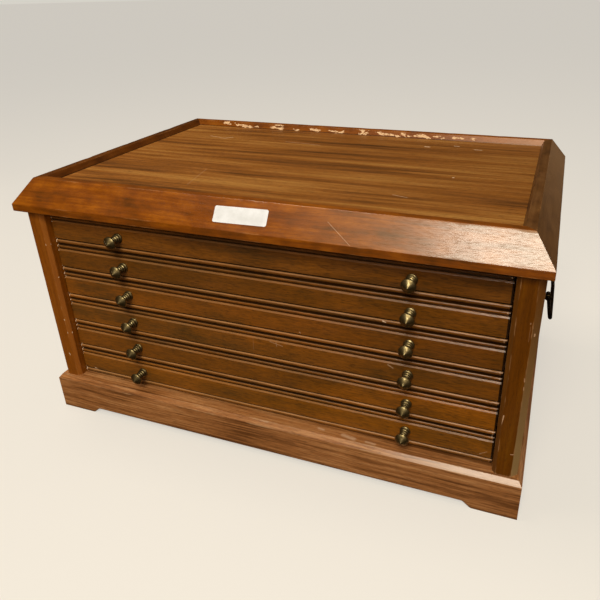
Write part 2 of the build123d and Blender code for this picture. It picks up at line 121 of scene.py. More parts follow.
def woodMaterial(name, changes):
    look = {**woodLook, **changes}
    material, tree = emptyMaterial(name)
    place = put(tree, "TexCoord").outputs["Object"]
    # Grain wanders: each point is read a few millimetres aside, by a slow noise
    drift = put(tree, "TexNoise", {"Vector": place, "Scale": 1 / (look["wanderLength"] * mm),
                                   "Detail": 1})
    drift = put(tree, "VectorMath", {0: drift.outputs["Color"], 1: (0.5, 0.5, 0.5)},
                operation="SUBTRACT")
    drift = put(tree, "VectorMath", {0: drift, "Scale": 2 * look["wander"] * mm},
                operation="SCALE")
    wandering = put(tree, "VectorMath", {0: place, 1: drift}, operation="ADD")

    def grain(width, length, detail, seed):
        # A noise drawn out along the grain
        scale = [1 / (width * mm)] * 3
        scale[look["along"]] = 1 / (length * mm)
        shift = look["shift"] + seed
        spot = put(tree, "Mapping", {"Vector": wandering, "Scale": scale,
                                     "Location": (shift, shift, shift)})
        return put(tree, "TexNoise", {"Vector": spot, "Scale": 1, "Detail": detail})

    tone = 0.5 - 0.5 * sum(gain for _, _, _, gain in look["layers"])
    for turn, (width, length, detail, gain) in enumerate(look["layers"]):
        fine = grain(width, length, detail, 3.7 * turn)
        tone = put(tree, "Math", {0: fine, 1: gain, 2: tone}, operation="MULTIPLY_ADD")
    colour = put(tree, "ValToRGB", {"Fac": tone},
                 stops=[(0.12, hexLinear(look["dark"])), (0.5, hexLinear(look["mid"])),
                        (0.88, hexLinear(look["light"]))])
    pores = grain(look["poreWidth"], look["poreLength"], 1, 21.3)
    pores = put(tree, "MapRange", {"Value": pores, "From Min": poreRange[0],
                                   "From Max": poreRange[1]})
    poreTone = put(tree, "Math", {0: pores, 1: look["poreTone"]}, operation="MULTIPLY")
    colour = put(tree, "Mix", {0: poreTone, 6: colour, 7: hexLinear(look["grimeAndShade"])},
                 data_type="RGBA")

    # Painted light and shade: the brightness changes steadily along x from one end to the other
    startPlace, startTone, endPlace, endTone = look["paintedShading"]
    if startTone != endTone:
        sideways = put(tree, "SeparateXYZ", {0: place})
        paintedShade = put(tree, "MapRange", {
            "Value": sideways, "From Min": startPlace * mm, "From Max": endPlace * mm,
            "To Min": startTone, "To Max": endTone})
        paintedShade = put(tree, "CombineXYZ", {0: paintedShade, 1: paintedShade, 2: paintedShade})
        colour = put(tree, "Mix", {0: 1.0, 6: colour, 7: paintedShade}, data_type="RGBA",
                     blend_type="MULTIPLY")

    # Wear, painted shade and painted highlight come from fields on the mesh, broken up by a flaky
    # and a streaky noise; the painted highlight and glare of their own field are not broken up
    ragged = grain(*woodNoises["ragged"])
    streaky = grain(*woodNoises["streaky"])

    def wearAndLight(field, noise, strength):
        low, high = wearAndLightRanges[field]
        amount = put(tree, "Attribute", attribute_name=field).outputs["Fac"]
        amount = put(tree, "Math", {0: noise, 1: amount}, operation="ADD")
        return put(tree, "MapRange", {"Value": amount, "From Min": low, "From Max": high,
                                      "To Max": strength})

    # Painted highlight and glare, read straight from the mesh
    highlighted = put(tree, "Attribute", attribute_name="paintedHighlight").outputs["Fac"]
    bare = wearAndLight("bare", ragged, 1.0)
    # A scratch is a line seen through the flaky noise. The nearest point of the line lies at
    # the share (place - start) . line / line squared, held between 0 and 1, and the mark fades
    # out as the distance from there grows from 0.3 of its width to its whole width.
    for start, end, width, strength in look["scratches"]:
        start, end = Vector(start) * mm, Vector(end) * mm
        line = end - start
        away = put(tree, "VectorMath", {0: place, 1: start}, operation="SUBTRACT")
        share = put(tree, "VectorMath", {0: away, 1: line / line.length_squared},
                    operation="DOT_PRODUCT").outputs["Value"]
        share = put(tree, "Math", {0: share, 1: 1.0}, operation="MULTIPLY", use_clamp=True)
        nearest = put(tree, "VectorMath", {0: line, "Scale": share}, operation="SCALE")
        gap = put(tree, "VectorMath", {0: away, 1: nearest}, operation="DISTANCE")
        mark = put(tree, "MapRange", {"Value": gap.outputs["Value"], "From Min": width * mm,
                                      "From Max": width * mm * 0.3, "To Max": strength})
        mark = put(tree, "Math", {0: mark, 1: ragged}, operation="MULTIPLY")
        mark = put(tree, "Math", {0: mark, 1: 2.0}, operation="MULTIPLY", use_clamp=True)
        bare = put(tree, "Math", {0: bare, 1: mark}, operation="MAXIMUM")
    # Mixed in turn: grime with painted shade, painted highlight, rubbing with painted highlight,
    # bare wood
    for amount, tint in ((wearAndLight("grimeAndShade", ragged, look["grimeAndShadeStrength"]), "grimeAndShade"),
                         (highlighted, "paintedHighlight"),
                         (wearAndLight("rubAndHighlight", streaky, look["rubAndHighlightStrength"]), "rubAndHighlight"), (bare, "bare")):
        colour = put(tree, "Mix", {0: amount, 6: colour, 7: hexLinear(look[tint])},
                     data_type="RGBA")

    half = look["roughnessSpread"] / 2
    rough = put(tree, "MapRange", {
        "Value": grain(*woodNoises["cloudy"]), "From Min": 0.3, "From Max": 0.7,
        "To Min": look["roughness"] - half, "To Max": look["roughness"] + half})
    rough = put(tree, "Math", {0: bare, 1: look["bareRoughness"], 2: rough},
                operation="MULTIPLY_ADD")
    height = put(tree, "Math", {0: grain(*woodNoises["fibrous"]), 1: pores},
                 operation="SUBTRACT")
    height = put(tree, "Math", {0: bare, 1: -look["bareDepth"], 2: height},
                 operation="MULTIPLY_ADD")
    relief = put(tree, "Bump", {"Height": height, "Strength": look["bump"],
                                "Distance": look["bumpDepth"] * mm})
    # Shellac sinks into the pores, so the coat thins over them
    coat = look["coat"]
    if coat > 0:
        coat = put(tree, "MapRange", {"Value": pores, "To Min": coat,
                                      "To Max": coat * look["poreSheen"]})
    shader = put(tree, "BsdfPrincipled", {
        "Base Color": colour, "Roughness": rough, "Normal": relief, "Coat Weight": coat,
        "Coat Roughness": look["coatRoughness"], "Specular IOR Level": look["specular"]})
    put(tree, "OutputMaterial", {"Surface": shader})
    return material


# Turned brass, left without lacquer and gone brown: bright where fingers rub it, dark in the
# hollows, and rougher where it is dark. The mottle's size is in mm.
brassLook = {"bright": "#BEAC7E", "worn": "#887750", "patina": "#423522", "roughness": 0.4,
             "mottle": 2.2, "hollow": 0.55, "dullest": 0.2, "brightest": 0.08, "bump": 0.2}


def metalMaterial(name, changes):
    look = {**brassLook, **changes}
    material, tree = emptyMaterial(name)
    place = put(tree, "TexCoord").outputs["Object"]
    mottle = put(tree, "TexNoise", {"Vector": place, "Scale": 1 / (look["mottle"] * mm),
                                    "Detail": 4})
    recess = put(tree, "Attribute", attribute_name="recess").outputs["Fac"]
    tone = put(tree, "Math", {0: recess, 1: -look["hollow"], 2: mottle},
               operation="MULTIPLY_ADD")
    colour = put(tree, "ValToRGB", {"Fac": tone},
                 stops=[(0.2, hexLinear(look["patina"])), (0.5, hexLinear(look["worn"])),
                        (0.75, hexLinear(look["bright"]))])
    rough = put(tree, "MapRange", {"Value": tone, "From Min": 0.2, "From Max": 0.7,
                                   "To Min": look["roughness"] + look["dullest"],
                                   "To Max": look["roughness"] - look["brightest"]})
    relief = put(tree, "Bump", {"Height": mottle, "Strength": look["bump"],
                                "Distance": 0.1 * mm})
    shader = put(tree, "BsdfPrincipled", {
        "Base Color": colour, "Metallic": 1.0, "Roughness": rough, "Normal": relief})
    put(tree, "OutputMaterial", {"Surface": shader})
    return material


# Baize, a felted wool: matt, with short fibres that lie every way and catch a little light.
# Fibres are far too fine to show and are drawn as tufts of 0.9 mm. Sizes in mm.
baizeLook = {"dark": "#163524", "light": "#2C563B", "tuft": 0.9, "patch": 40,
             "patchGain": 0.25, "bump": 0.6, "roughness": 0.95, "sheen": 0.4, "specular": 0.1}


def baizeMaterial(name):
    material, tree = emptyMaterial(name)
    place = put(tree, "TexCoord").outputs["Object"]
    fibre = put(tree, "TexNoise", {"Vector": place, "Scale": 1 / (baizeLook["tuft"] * mm),
                                   "Detail": 4})
    worn = put(tree, "TexNoise", {"Vector": place, "Scale": 1 / (baizeLook["patch"] * mm),
                                  "Detail": 2})
    tone = put(tree, "Math", {0: worn, 1: baizeLook["patchGain"], 2: fibre},
               operation="MULTIPLY_ADD")
    colour = put(tree, "ValToRGB", {"Fac": tone},
                 stops=[(0.35, hexLinear(baizeLook["dark"])),
                        (0.9, hexLinear(baizeLook["light"]))])
    relief = put(tree, "Bump", {"Height": fibre, "Strength": baizeLook["bump"],
                                "Distance": 0.3 * mm})
    shader = put(tree, "BsdfPrincipled", {
        "Base Color": colour, "Roughness": baizeLook["roughness"], "Normal": relief,
        "Sheen Weight": baizeLook["sheen"], "Sheen Roughness": 0.5,
        "Specular IOR Level": baizeLook["specular"]})
    put(tree, "OutputMaterial", {"Surface": shader})
    return material


# Coated white paper: nearly smooth, with a faint shine, and greyed a little in patches. The
# size of the patches is in mm.
paperLook = {"grey": "#D4D4D5", "white": "#E3E3E6", "patch": 9, "bump": 0.15,
             "roughness": 0.4}


def paperMaterial(name):
    material, tree = emptyMaterial(name)
    place = put(tree, "TexCoord").outputs["Object"]
    stain = put(tree, "TexNoise", {"Vector": place, "Scale": 1 / (paperLook["patch"] * mm),
                                   "Detail": 4})
    colour = put(tree, "ValToRGB", {"Fac": stain},
                 stops=[(0.3, hexLinear(paperLook["grey"])),
                        (0.6, hexLinear(paperLook["white"]))])
    relief = put(tree, "Bump", {"Height": stain, "Strength": paperLook["bump"],
                                "Distance": 0.2 * mm})
    shader = put(tree, "BsdfPrincipled", {
        "Base Color": colour, "Roughness": paperLook["roughness"], "Normal": relief})
    put(tree, "OutputMaterial", {"Surface": shader})
    return material


# Scratches lie from point to point, in mm, with a width in mm and a strength
panelScratches = [
    ((-169, 81, 253.2), (-146, 73.5, 253.2), 0.7, 0.5),
    ((-146, 73.5, 253.2), (-138, 81, 253.2), 0.9, 0.6),
    ((-66, 77, 253.2), (-43, 75.5, 253.2), 0.6, 0.4),
    ((-43, 75.5, 253.2), (-21, 72, 253.2), 0.6, 0.4),
    ((149, 98.6, 253.2), (157, 98.1, 253.2), 1.0, 0.7),
    ((95, 97.7, 253.2), (100, 97.5, 253.2), 1.3, 0.9),
    ((126, 108.9, 253.2), (131, 108.6, 253.2), 1.0, 0.7),
    ((145.4, -12.5, 253.2), (146.2, -12.3, 253.2), 1.0, 1.0),
    ((105, -77.7, 253.2), (119, -81.8, 253.2), 0.5, 0.45),
    ((-84.5, -104, 253.2), (-95, -52, 253.2), 0.5, 0.12),
]
bevelScratches = [((72.6, -150.7, 250.9), (94.1, -160.7, 237.4), 0.22, 0.4)]
leftPostMarks = [
    ((-212, -154.3, 203.2), (-211.8, -154.3, 201.7), 0.7, 0.9),
    ((-210.6, -154.3, 176), (-210.4, -154.3, 173), 0.6, 0.8),
    ((-220.4, -154.3, 129.6), (-220.3, -154.3, 128.6), 0.6, 0.8),
    ((-221.4, -154.3, 111), (-220, -154.3, 108.8), 0.6, 0.9),
    ((-226, -154.3, 69), (-225, -154.3, 67), 0.7, 0.8),
    ((-219, -154.3, 154.8), (-219, -154.3, 153.8), 0.5, 0.6),
]
rightPostMarks = [
    ((221.9, -154.3, 103.2), (221.5, -154.3, 99), 0.6, 0.8),
    ((221.5, -154.3, 99), (220.6, -154.3, 92.6), 0.5, 0.6),
    ((231.5, -154.3, 65.2), (233.8, -154.3, 65.9), 0.5, 0.8),
    ((236, -152.5, 181), (236, -152.5, 179.6), 0.9, 1.0),
    ((231.9, -154.3, 191), (231.9, -154.3, 190.2), 0.6, 0.35),
    ((232.2, -154.3, 188), (232.2, -154.3, 175), 0.3, 0.15),
    ((233.3, -154, 142), (233.6, -154, 139), 0.7, 0.5),
    ((233.6, -154, 134), (233.8, -154, 131), 0.6, 0.5),
]
plinthMarks = [
    ((18.3, -159, 41), (17.4, -159.5, 38.2), 0.5, 0.9),
    ((58, -149, 41), (63, -149.6, 41), 1.8, 0.3),
    ((83, -150.5, 41), (94, -152.5, 41), 3.0, 0.3),
    ((106, -152.3, 41), (114, -153, 41), 2.0, 0.25),
    ((141, -156.8, 41), (148, -157.6, 41), 1.4, 0.35),
    ((-40, -157.8, 41), (-24, -157.2, 41), 1.2, 0.25),
    ((0, -157.1, 41), (8, -156.8, 41), 1.2, 0.25),
]
drawerMarks = {
    1: [], 2: [((117, -144.6, 166.4), (119.5, -144.6, 165.8), 0.7, 0.8)],
    3: [((41, -144.9, 141.2), (42, -144.9, 140.4), 0.4, 0.5)],
    4: [((10.9, -144.9, 125.4), (23.7, -144.9, 122.8), 0.5, 0.22),
        ((17, -144.9, 125.6), (17.6, -144.9, 121.5), 0.5, 0.2),
        ((-6.2, -144.9, 129), (-6.6, -144.9, 113), 0.3, 0.08),
        ((122.4, -144.9, 124.6), (126.9, -144.9, 122), 0.8, 0.25)],
    5: [], 6: [((206, -144.9, 50.4), (212, -144.9, 54.4), 0.4, 0.3),
               ((-204, -144.9, 48.6), (-200.5, -144.9, 47.6), 1.2, 1.0)],
}

# Rails of the cornice, solid mahogany stained red-brown and polished with shellac: a mottled
# figure under a clear glossy coat. The side rails are given darker colours as painted shade, the
# right one is dull, and the back one has lost its coat. The front and back rails carry a painted
# glare towards their right, and the right rail a painted reflection towards the back.
corniceLook = {"dark": "#4E2A02", "mid": "#7C3E00", "light": "#A25A04", "coat": 0.7,
               "coatRoughness": 0.2, "roughness": 0.38, "specular": 0.3, "poreTone": 0.2,
               "poreWidth": 0.45, "poreLength": 5.5, "rubAndHighlight": "#B07A48",
               "layers": [(9, 200, 2, 0.5), (2.2, 60, 3, 0.6), (13, 22, 3, 1.0)]}
corniceChanges = {
    "front": {"paintedHighlight": "#E8B470", "scratches": bevelScratches},
    "back": {"shift": 4.1, "dark": "#562A02", "mid": "#844606", "light": "#985810",
             "coat": 0.0, "specular": 0.2, "bare": "#EAC294", "paintedHighlight": "#E2B08A"},
    "left": {"shift": 8.3, "along": 1, "dark": "#421E02", "mid": "#623204",
             "light": "#78420C"},
    "right": {"shift": 12.7, "along": 1, "dark": "#3A220C", "mid": "#5C3A1A",
              "light": "#6E4A26", "coat": 0.1, "specular": 0.35, "paintedHighlight": "#A8825E"}}
corniceWood = {side: woodMaterial("shellacMahogany" + side.capitalize(),
                                  {**corniceLook, **changes})
               for side, changes in corniceChanges.items()}
# Sunk top panel, sliced mahogany veneer worn to a satin: straight stripes along its width and
# no coat left, so the lamps don't show in it. Painted light makes its left lighter and its right
# darker.
panelWood = woodMaterial("stripedMahoganyVeneer", {
    "dark": "#4A2A08", "mid": "#885118", "light": "#A87434", "coat": 0.0, "roughness": 0.5,
    "specular": 0.25, "layers": [(9, 240, 3, 1.0), (2.6, 60, 3, 0.6), (30, 200, 2, 0.9)],
    "poreTone": 0.4, "scratches": panelScratches, "paintedShading": (-220, 1.12, 220, 0.84)})
# Corner posts, straight-grained mahogany rubbed to a satin: upright streaks, the left post
# painted lighter and more orange than the right as painted light, both paler on their chamfers
# from wear and painted highlight
postWood = {
    "left": woodMaterial("satinMahoganyPostLeft", {
        "along": 2, "dark": "#6A3606", "mid": "#88490A", "light": "#9A5C18", "coat": 0.0,
        "specular": 0.25, "paintedHighlight": "#A8642A", "scratches": leftPostMarks}),
    "right": woodMaterial("satinMahoganyPostRight", {
        "along": 2, "dark": "#4C2600", "mid": "#623400", "light": "#724404", "shift": 3.3,
        "coat": 0.0, "specular": 0.25, "paintedHighlight": "#92764C", "bare": "#D2A884",
        "scratches": rightPostMarks})}
# Side boards, planed mahogany under a thin polish: upright streaks and a soft sheen
sideWood = woodMaterial("satinMahoganySide", {
    "along": 2, "dark": "#3E200C", "mid": "#6E4018", "light": "#8A5426", "shift": 5.5})
# Back board, thin mahogany stained and left without polish: matt, with grain along its width
backWood = woodMaterial("plainMahoganyBack", {
    "dark": "#3A2010", "mid": "#63401F", "light": "#7E5830", "shift": 9.5, "coat": 0.0,
    "roughness": 0.6})
# Plinth, paler mahogany with a thin polish: fine sharp streaks, distinct pores, a painted glare
# on its front bevel at its right, and painted shade that darkens it towards its right
plinthLook = {"dark": "#6E401A", "mid": "#A66A38", "light": "#C48A56", "poreTone": 0.35,
              "paintedHighlight": "#F4DCC8", "coat": 0.25, "coatRoughness": 0.2, "roughness": 0.42,
              "paintedShading": (-200, 1.0, 240, 0.86),
              "layers": [(5, 200, 2, 1.1), (1.6, 45, 3, 1.4), (45, 120, 2, 0.7)]}
plinthChanges = {"front": {"shift": 2.2, "scratches": plinthMarks}, "back": {"shift": 6.6},
                 "left": {"shift": 10.4, "along": 1}, "right": {"shift": 14.9, "along": 1}}
plinthWood = {side: woodMaterial("satinMahoganyPlinth" + side.capitalize(),
                                 {**plinthLook, **changes})
              for side, changes in plinthChanges.items()}
# Drawer fronts, moulded mahogany rubbed to a satin: short streaks, distinct pores, and arrises
# paler from wear and painted highlight. Each front has its own dark, middle and light tone, olive
# to orange, and its own brightness at the left and the right end, which is painted light and
# shade: the top front is darker at its right, in a painted shadow of the cornice.
drawerLook = {"paintedHighlight": "#C48C58", "rubAndHighlight": "#BC8450", "coat": 0.06, "specular": 0.36,
              "roughness": 0.36, "poreTone": 0.5,
              "layers": [(8, 160, 2, 0.5), (1.1, 14, 2, 0.8), (35, 90, 2, 1.2)]}
drawerTones = {1: ("#422B09", "#6A3B04", "#844C0A", 1.15, 0.76),
               2: ("#442B08", "#6C3D02", "#844A08", 0.9, 0.93),
               3: ("#472D0A", "#713F04", "#8A4C08", 1.2, 0.85),
               4: ("#4C310C", "#774406", "#905108", 1.12, 0.85),
               5: ("#4E300A", "#7E4804", "#9C5808", 0.8, 1.0),
               6: ("#4F330C", "#7B4806", "#955608", 0.98, 1.03)}
drawerWood = {number: woodMaterial("satinMahoganyDrawer%d" % number, {
    **drawerLook, "dark": dark, "mid": mid, "light": light, "shift": 5.9 * number,
    "paintedShading": (-220, leftTone, 220, rightTone), "scratches": drawerMarks[number]})
    for number, (dark, mid, light, leftTone, rightTone) in drawerTones.items()}
# Timber inside the case, planed and never polished: pale and matt
innerWood = woodMaterial("unpolishedCabinetTimber", {
    "dark": "#6E4D2B", "mid": "#94704A", "light": "#B18D63", "coat": 0.0, "roughness": 0.7})
# Drawer walls and bottoms, liners and runners, thin planed mahogany: matt and a little darker
wallWood = woodMaterial("thinMattMahogany", {
    "dark": "#5A371C", "mid": "#7F5734", "light": "#9C7550", "coat": 0.0, "roughness": 0.65,
    "along": 1})
knobBrass = metalMaterial("turnedBrassPatina", {})
# Handles, brass bronzed nearly black: brown metal shows through faintly in spots
handleBronze = metalMaterial("darkBronzedBrass", {
    "bright": "#5C4A30", "worn": "#2E2418", "patina": "#17110B", "roughness": 0.42})
# Screws and pins, cut brass gone dull: darker than the knobs, as nobody touches them
screwMetal = metalMaterial("dullBrassScrew", {"bright": "#8A7648"})
baize = baizeMaterial("greenWoolBaize")
paper = paperMaterial("coatedPaperLabel")
print("materials made")


def unevenness(place, size, seed):
    # A sum of sine waves with seeded lengths (0.4 to 2.2 times the size) and phases, divided by
    # half their number: about -1 to 1
    draw = np.random.default_rng(seed)
    waves = 9
    lengths = size * draw.uniform(0.4, 2.2, waves)
    phases = draw.uniform(0, fullTurn, waves)
    return np.sin(np.asarray(place)[..., None] * fullTurn / lengths + phases).sum(-1) / (waves / 2)


def roundedOutline(corners, spacing, steps=4):
    # Closed outline of straight sides, each corner an arc of its own radius that touches both
    # sides: its centre lies on the halving line, radius / sine of the half angle from the
    # corner. Returns the points, and a field that is 1 on the arcs and 0 on the sides, which
    # are cut to the spacing.
    corners = np.array(corners, float)
    spots, radii = corners[:, :2], corners[:, 2]
    parts, bends, ends = [], [], []
    for turn in range(len(spots)):
        spot, radius = spots[turn], radii[turn]
        before, after = spots[turn - 1] - spot, spots[(turn + 1) % len(spots)] - spot
        before, after = before / np.linalg.norm(before), after / np.linalg.norm(after)
        half = math.acos(float(np.clip(before @ after, -1, 1))) / 2
        middle = (before + after) / np.linalg.norm(before + after)
        centre = spot + middle * radius / math.sin(half)
        first = spot + before * radius / math.tan(half) - centre
        last = spot + after * radius / math.tan(half) - centre
        share = np.linspace(0, 1, steps + 1 if radius > 0 else 1)[:, None]
        arc = first * (1 - share) + last * share
        length = np.linalg.norm(arc, axis=1, keepdims=True)
        ends.append(centre + arc * radius / np.maximum(length, 1e-12))
    for turn in range(len(ends)):
        arc, start = ends[turn], ends[(turn + 1) % len(ends)][0]
        count = max(1, int(np.ceil(np.linalg.norm(start - arc[-1]) / spacing)))
        share = np.linspace(0, 1, count + 1)[1:-1, None]
        parts += [arc, arc[-1] * (1 - share) + start * share]
        bends += [np.ones(len(arc)), np.zeros(len(share))]
    return np.concatenate(parts), np.concatenate(bends)


def ringShell(rings):
    # Closed shell from stations x outline points: quads between neighbouring rings and a flat
    # face on each end. The sign of the volume that it holds tells which way round faces go.
    stations, count = rings.shape[:2]
    points = rings.reshape(-1, 3)
    index = np.arange(stations * count).reshape(stations, count)
    after = np.roll(index, -1, axis=1)
    quads = np.stack([index[:-1], after[:-1], after[1:], index[1:]], -1).reshape(-1, 4)
    corner = points[quads] - points.mean(0)
    volume = (np.cross(corner[:, 0], corner[:, 1]) * corner[:, 2]).sum()
    volume += (np.cross(corner[:, 0], corner[:, 2]) * corner[:, 3]).sum()
    faces = quads.tolist() + [index[0][::-1].tolist(), index[-1].tolist()]
    if volume < 0:
        faces = [face[::-1] for face in faces]
    return points, faces


def joinShells(shells):
    # Several closed shells as one mesh
    points, faces, count = [], [], 0
    for shellPoints, shellFaces in shells:
        faces += [(np.array(face) + count).tolist() for face in shellFaces]
        points.append(shellPoints)
        count += len(shellPoints)
    return np.concatenate(points), faces


def makePiece(name, shell, material, body, replaced, fields=None, smoothAngle=35):
    # Makes the mesh and its fields of wear, painted shade and painted highlight, hangs it on its
    # body and hides the CAD nodes that it replaces
    points, faces = shell
    mesh = bpy.data.meshes.new(name)
    mesh.from_pydata(points.tolist(), [], faces)
    for field, values in (fields or {}).items():
        layer = mesh.attributes.new(field, "FLOAT", "POINT")
        layer.data.foreach_set("value", np.asarray(values, np.float32).ravel())
    mesh.shade_smooth()
    mesh.set_sharp_from_angle(angle=math.radians(smoothAngle))
    mesh.materials.append(material)
    piece = bpy.data.objects.new(name, mesh)
    bpy.context.scene.collection.objects.link(piece)
    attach(piece, body)
    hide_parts(*replaced)
    return piece


# A rail runs along one side of a rectangle, seen from above, and its outline lies inward
railWays = {"front": ((1, 0), (0, 1)), "right": ((0, 1), (-1, 0)),
            "back": ((-1, 0), (0, -1)), "left": ((0, -1), (1, 0))}


def railRings(side, low, high, inset, height, spacing, endZone=52 * mm, endRings=14):
    # A profile carried along one side: point = the side's middle + distance along + inset inward
    # + height up. Rings stand square up to the end zone, and from there each point goes its own
    # even steps to reach - inset, so that the last ring lies in the mitre.
    along, inward = (np.array(way, float) for way in railWays[side])
    centre, half = (low[:2] + high[:2]) / 2, (high[:2] - low[:2]) / 2
    reach, across = abs(along) @ half, abs(inward) @ half
    straight = reach - endZone
    middle = np.linspace(0, straight, int(straight / spacing) + 1)
    share = np.linspace(0, 1, endRings + 1)[1:, None]
    oneWay = np.concatenate([np.repeat(middle[:, None], len(inset), 1),
                             straight + share * (reach - inset - straight)])
    distance = np.concatenate([-oneWay[:0:-1], oneWay])
    flat = (centre - inward * across + along * distance[..., None]
            + inward * inset[None, :, None])
    rise = np.broadcast_to(height, distance.shape)
    return np.concatenate([flat, rise[..., None]], -1), distance


# The cornice, in mm
cornice = {"fillet": 7.0, "bevelRun": 16.6, "bevelRise": 22.4, "ledge": 7.8, "lipRun": 2.6,
           "trayDepth": 6.2, "soffit": 16.5, "tongue": 4.5, "arris": 0.7, "dentDepth": 0.35,
           "dentLength": 45, "rubLength": 60, "sideSpacing": 1.1, "ringSpacing": 1.6,
           "darkeningReach": 0.6}
# Painted glare grows towards +x, and on the right rail a painted reflection towards +y, as (its
# start in mm, the length in mm over which it grows, its full share)
corniceHighlight = {"front": (20, 210, 0.2), "right": (-130, 250, 0.5), "back": (90, 120, 0.4)}
# Bare wood on the inside of the back rail: (x, share of the lip's height, length, height)
backChips = [
    (-176, 0.75, 8, 3.6), (-158, 0.45, 8, 2.4), (-150, 0.3, 9, 2.8), (-142, 0.2, 6, 2.6),
    (-133, 0.4, 4, 2.6), (-103, 0.85, 11, 1.7), (-108, 0.35, 8, 2.4), (-99, 0.3, 10, 2.4),
    (-76, 0.08, 7, 1.4), (-81, 0.35, 2, 1.3), (-57, 0.5, 5, 2.8), (-50, 0.35, 7, 2.8),
    (-27, 0.35, 7, 1.8), (-19, 0.25, 7, 2.0), (-15, 0.45, 3, 2.6), (10, 0.8, 8, 2.2),
    (10, 0.5, 3, 2.4), (10, 0.22, 11, 1.6), (31, 0.6, 7, 2.6), (38, 0.45, 9, 2.2),
    (47, 0.3, 9, 2.0), (55, 0.15, 6, 1.4), (60, 0.6, 5, 3.2), (67, 0.3, 4, 2.2),
    (75, 0.4, 4, 2.0), (82, 0.45, 9, 3.2), (90, 0.25, 6, 2.4), (100, 0.5, 5, 2.0),
    (108, 0.35, 4, 1.8), (121, 0.5, 8, 2.2), (131, 0.4, 5, 1.6), (142, 0.55, 6, 1.4)]


def cornicePiece(side):
    # An outline of (in from the outside, height) carried along one side: fillet, bevel, ledge,
    # lip and the tongue that holds the panel down. Its arrises are pressed in and down by
    # 0.7 x dent depth x what a wave along the rail has over 0.25.
    size = {key: value * mm for key, value in cornice.items()}
    low, high = boxOf(*("cornice_" + way for way in railWays))
    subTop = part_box("sub_top")[1].z
    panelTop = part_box("top_panel")[1].z
    lip = size["bevelRun"] + size["ledge"] + size["lipRun"]
    seat = lip - size["tongue"]
    ledgeEnd = size["bevelRun"] + size["ledge"]
    arris = size["arris"]
    corners = [(0, low[2], arris), (0, low[2] + size["fillet"], arris),
               (size["bevelRun"], high[2], arris), (ledgeEnd, high[2], arris),
               (lip, panelTop, 0), (seat, panelTop, 0), (seat, subTop, 0),
               (size["soffit"], subTop, 0), (size["soffit"], low[2], 0)]
    outline, bend = roundedOutline(corners, size["sideSpacing"])
    inset, height = outline.T
    rings, distance = railRings(side, low, high, inset, height, size["ringSpacing"])
    seed = list(railWays).index(side)
    # Knocks flatten the outer arrises here and there
    knock = np.clip(unevenness(distance, size["dentLength"], 40 + seed) - 0.25, 0, 1)
    knock = knock * bend * (inset < lip - 1 * mm) * size["dentDepth"]
    inward = np.array([*railWays[side][1], 0.0])
    rings = rings + knock[..., None] * (inward * 0.7 - np.array([0, 0, 0.7]))
    rubAndHighlight = bend * (0.25 + 0.4 * unevenness(distance, size["rubLength"], 50 + seed))
    bare, paintedHighlight = np.zeros(distance.shape), np.zeros(distance.shape)
    onBevel = (inset < size["bevelRun"]) & (height > low[2] + size["fillet"])
    if side in corniceHighlight:
        start, length, full = corniceHighlight[side]
        place = rings[..., 1] if side == "right" else rings[..., 0]
        grown = np.clip((place - start * mm) / (length * mm), 0, 1)
    # Painted glare on the front bevel towards its right end
    if side == "front":
        paintedHighlight = onBevel * grown * full
    # Painted reflection on the right rail's bevel, growing towards the back
    if side == "right":
        paintedHighlight = onBevel * (0.1 + full * grown)  # a tenth of it lies all over
    if side == "back":
        # Each chip is a bell in length and height, and smaller ones scatter round it
        share = (height - panelTop) / size["trayDepth"]
        onLip = (inset > ledgeEnd - 0.2 * mm) & (height > panelTop - 0.1 * mm)
        draw = np.random.default_rng(17)
        chips = [(x + draw.uniform(-0.9, 0.9) * length, level + draw.uniform(-0.3, 0.3),
                  length * draw.uniform(0.2, 0.5), tall * draw.uniform(0.3, 0.7))
                 for x, level, length, tall in backChips for _ in range(3)]
        for x, level, length, tall in backChips + chips:
            reach = ((rings[..., 0] - x * mm) / (length * mm * 0.6)) ** 2
            reach = reach + ((share - level) * size["trayDepth"] / (tall * mm * 0.55)) ** 2
            bare = np.maximum(bare, np.exp(-0.5 * reach) * onLip * 0.66)
        # Painted glare on the back lip towards its right end
        paintedHighlight = onLip * grown * full
    # Painted shade and grime lie along the foot of the lip, in its corner with the panel
    grimeAndShade = np.exp(-np.abs(height - panelTop) / size["darkeningReach"]) * (inset > ledgeEnd)
    grimeAndShade = grimeAndShade + 0 * distance
    makePiece("cornice" + side.capitalize(), ringShell(rings), corniceWood[side], "case",
              ["cornice_" + side],
              {"rubAndHighlight": rubAndHighlight, "bare": bare, "grimeAndShade": grimeAndShade, "paintedHighlight": paintedHighlight})


for side in railWays:
    cornicePiece(side)
print("cornice made")

# The plinth, in mm
plinth = {"thickness": 20.0, "bevelRun": 3.5, "bevelRise": 4.3, "seat": 6.0, "foot": 40.0,
          "cutHeight": 6.4, "cutRun": 7.4, "cutEase": 0.8, "cutFade": 14, "arris": 0.6,
          "board": 8.0, "endZone": 38, "sideSpacing": 2.2, "ringSpacing": 1.0,
          "rubLength": 50, "darkeningReach": 1.5, "highlightStart": 110, "highlightLength": 80}


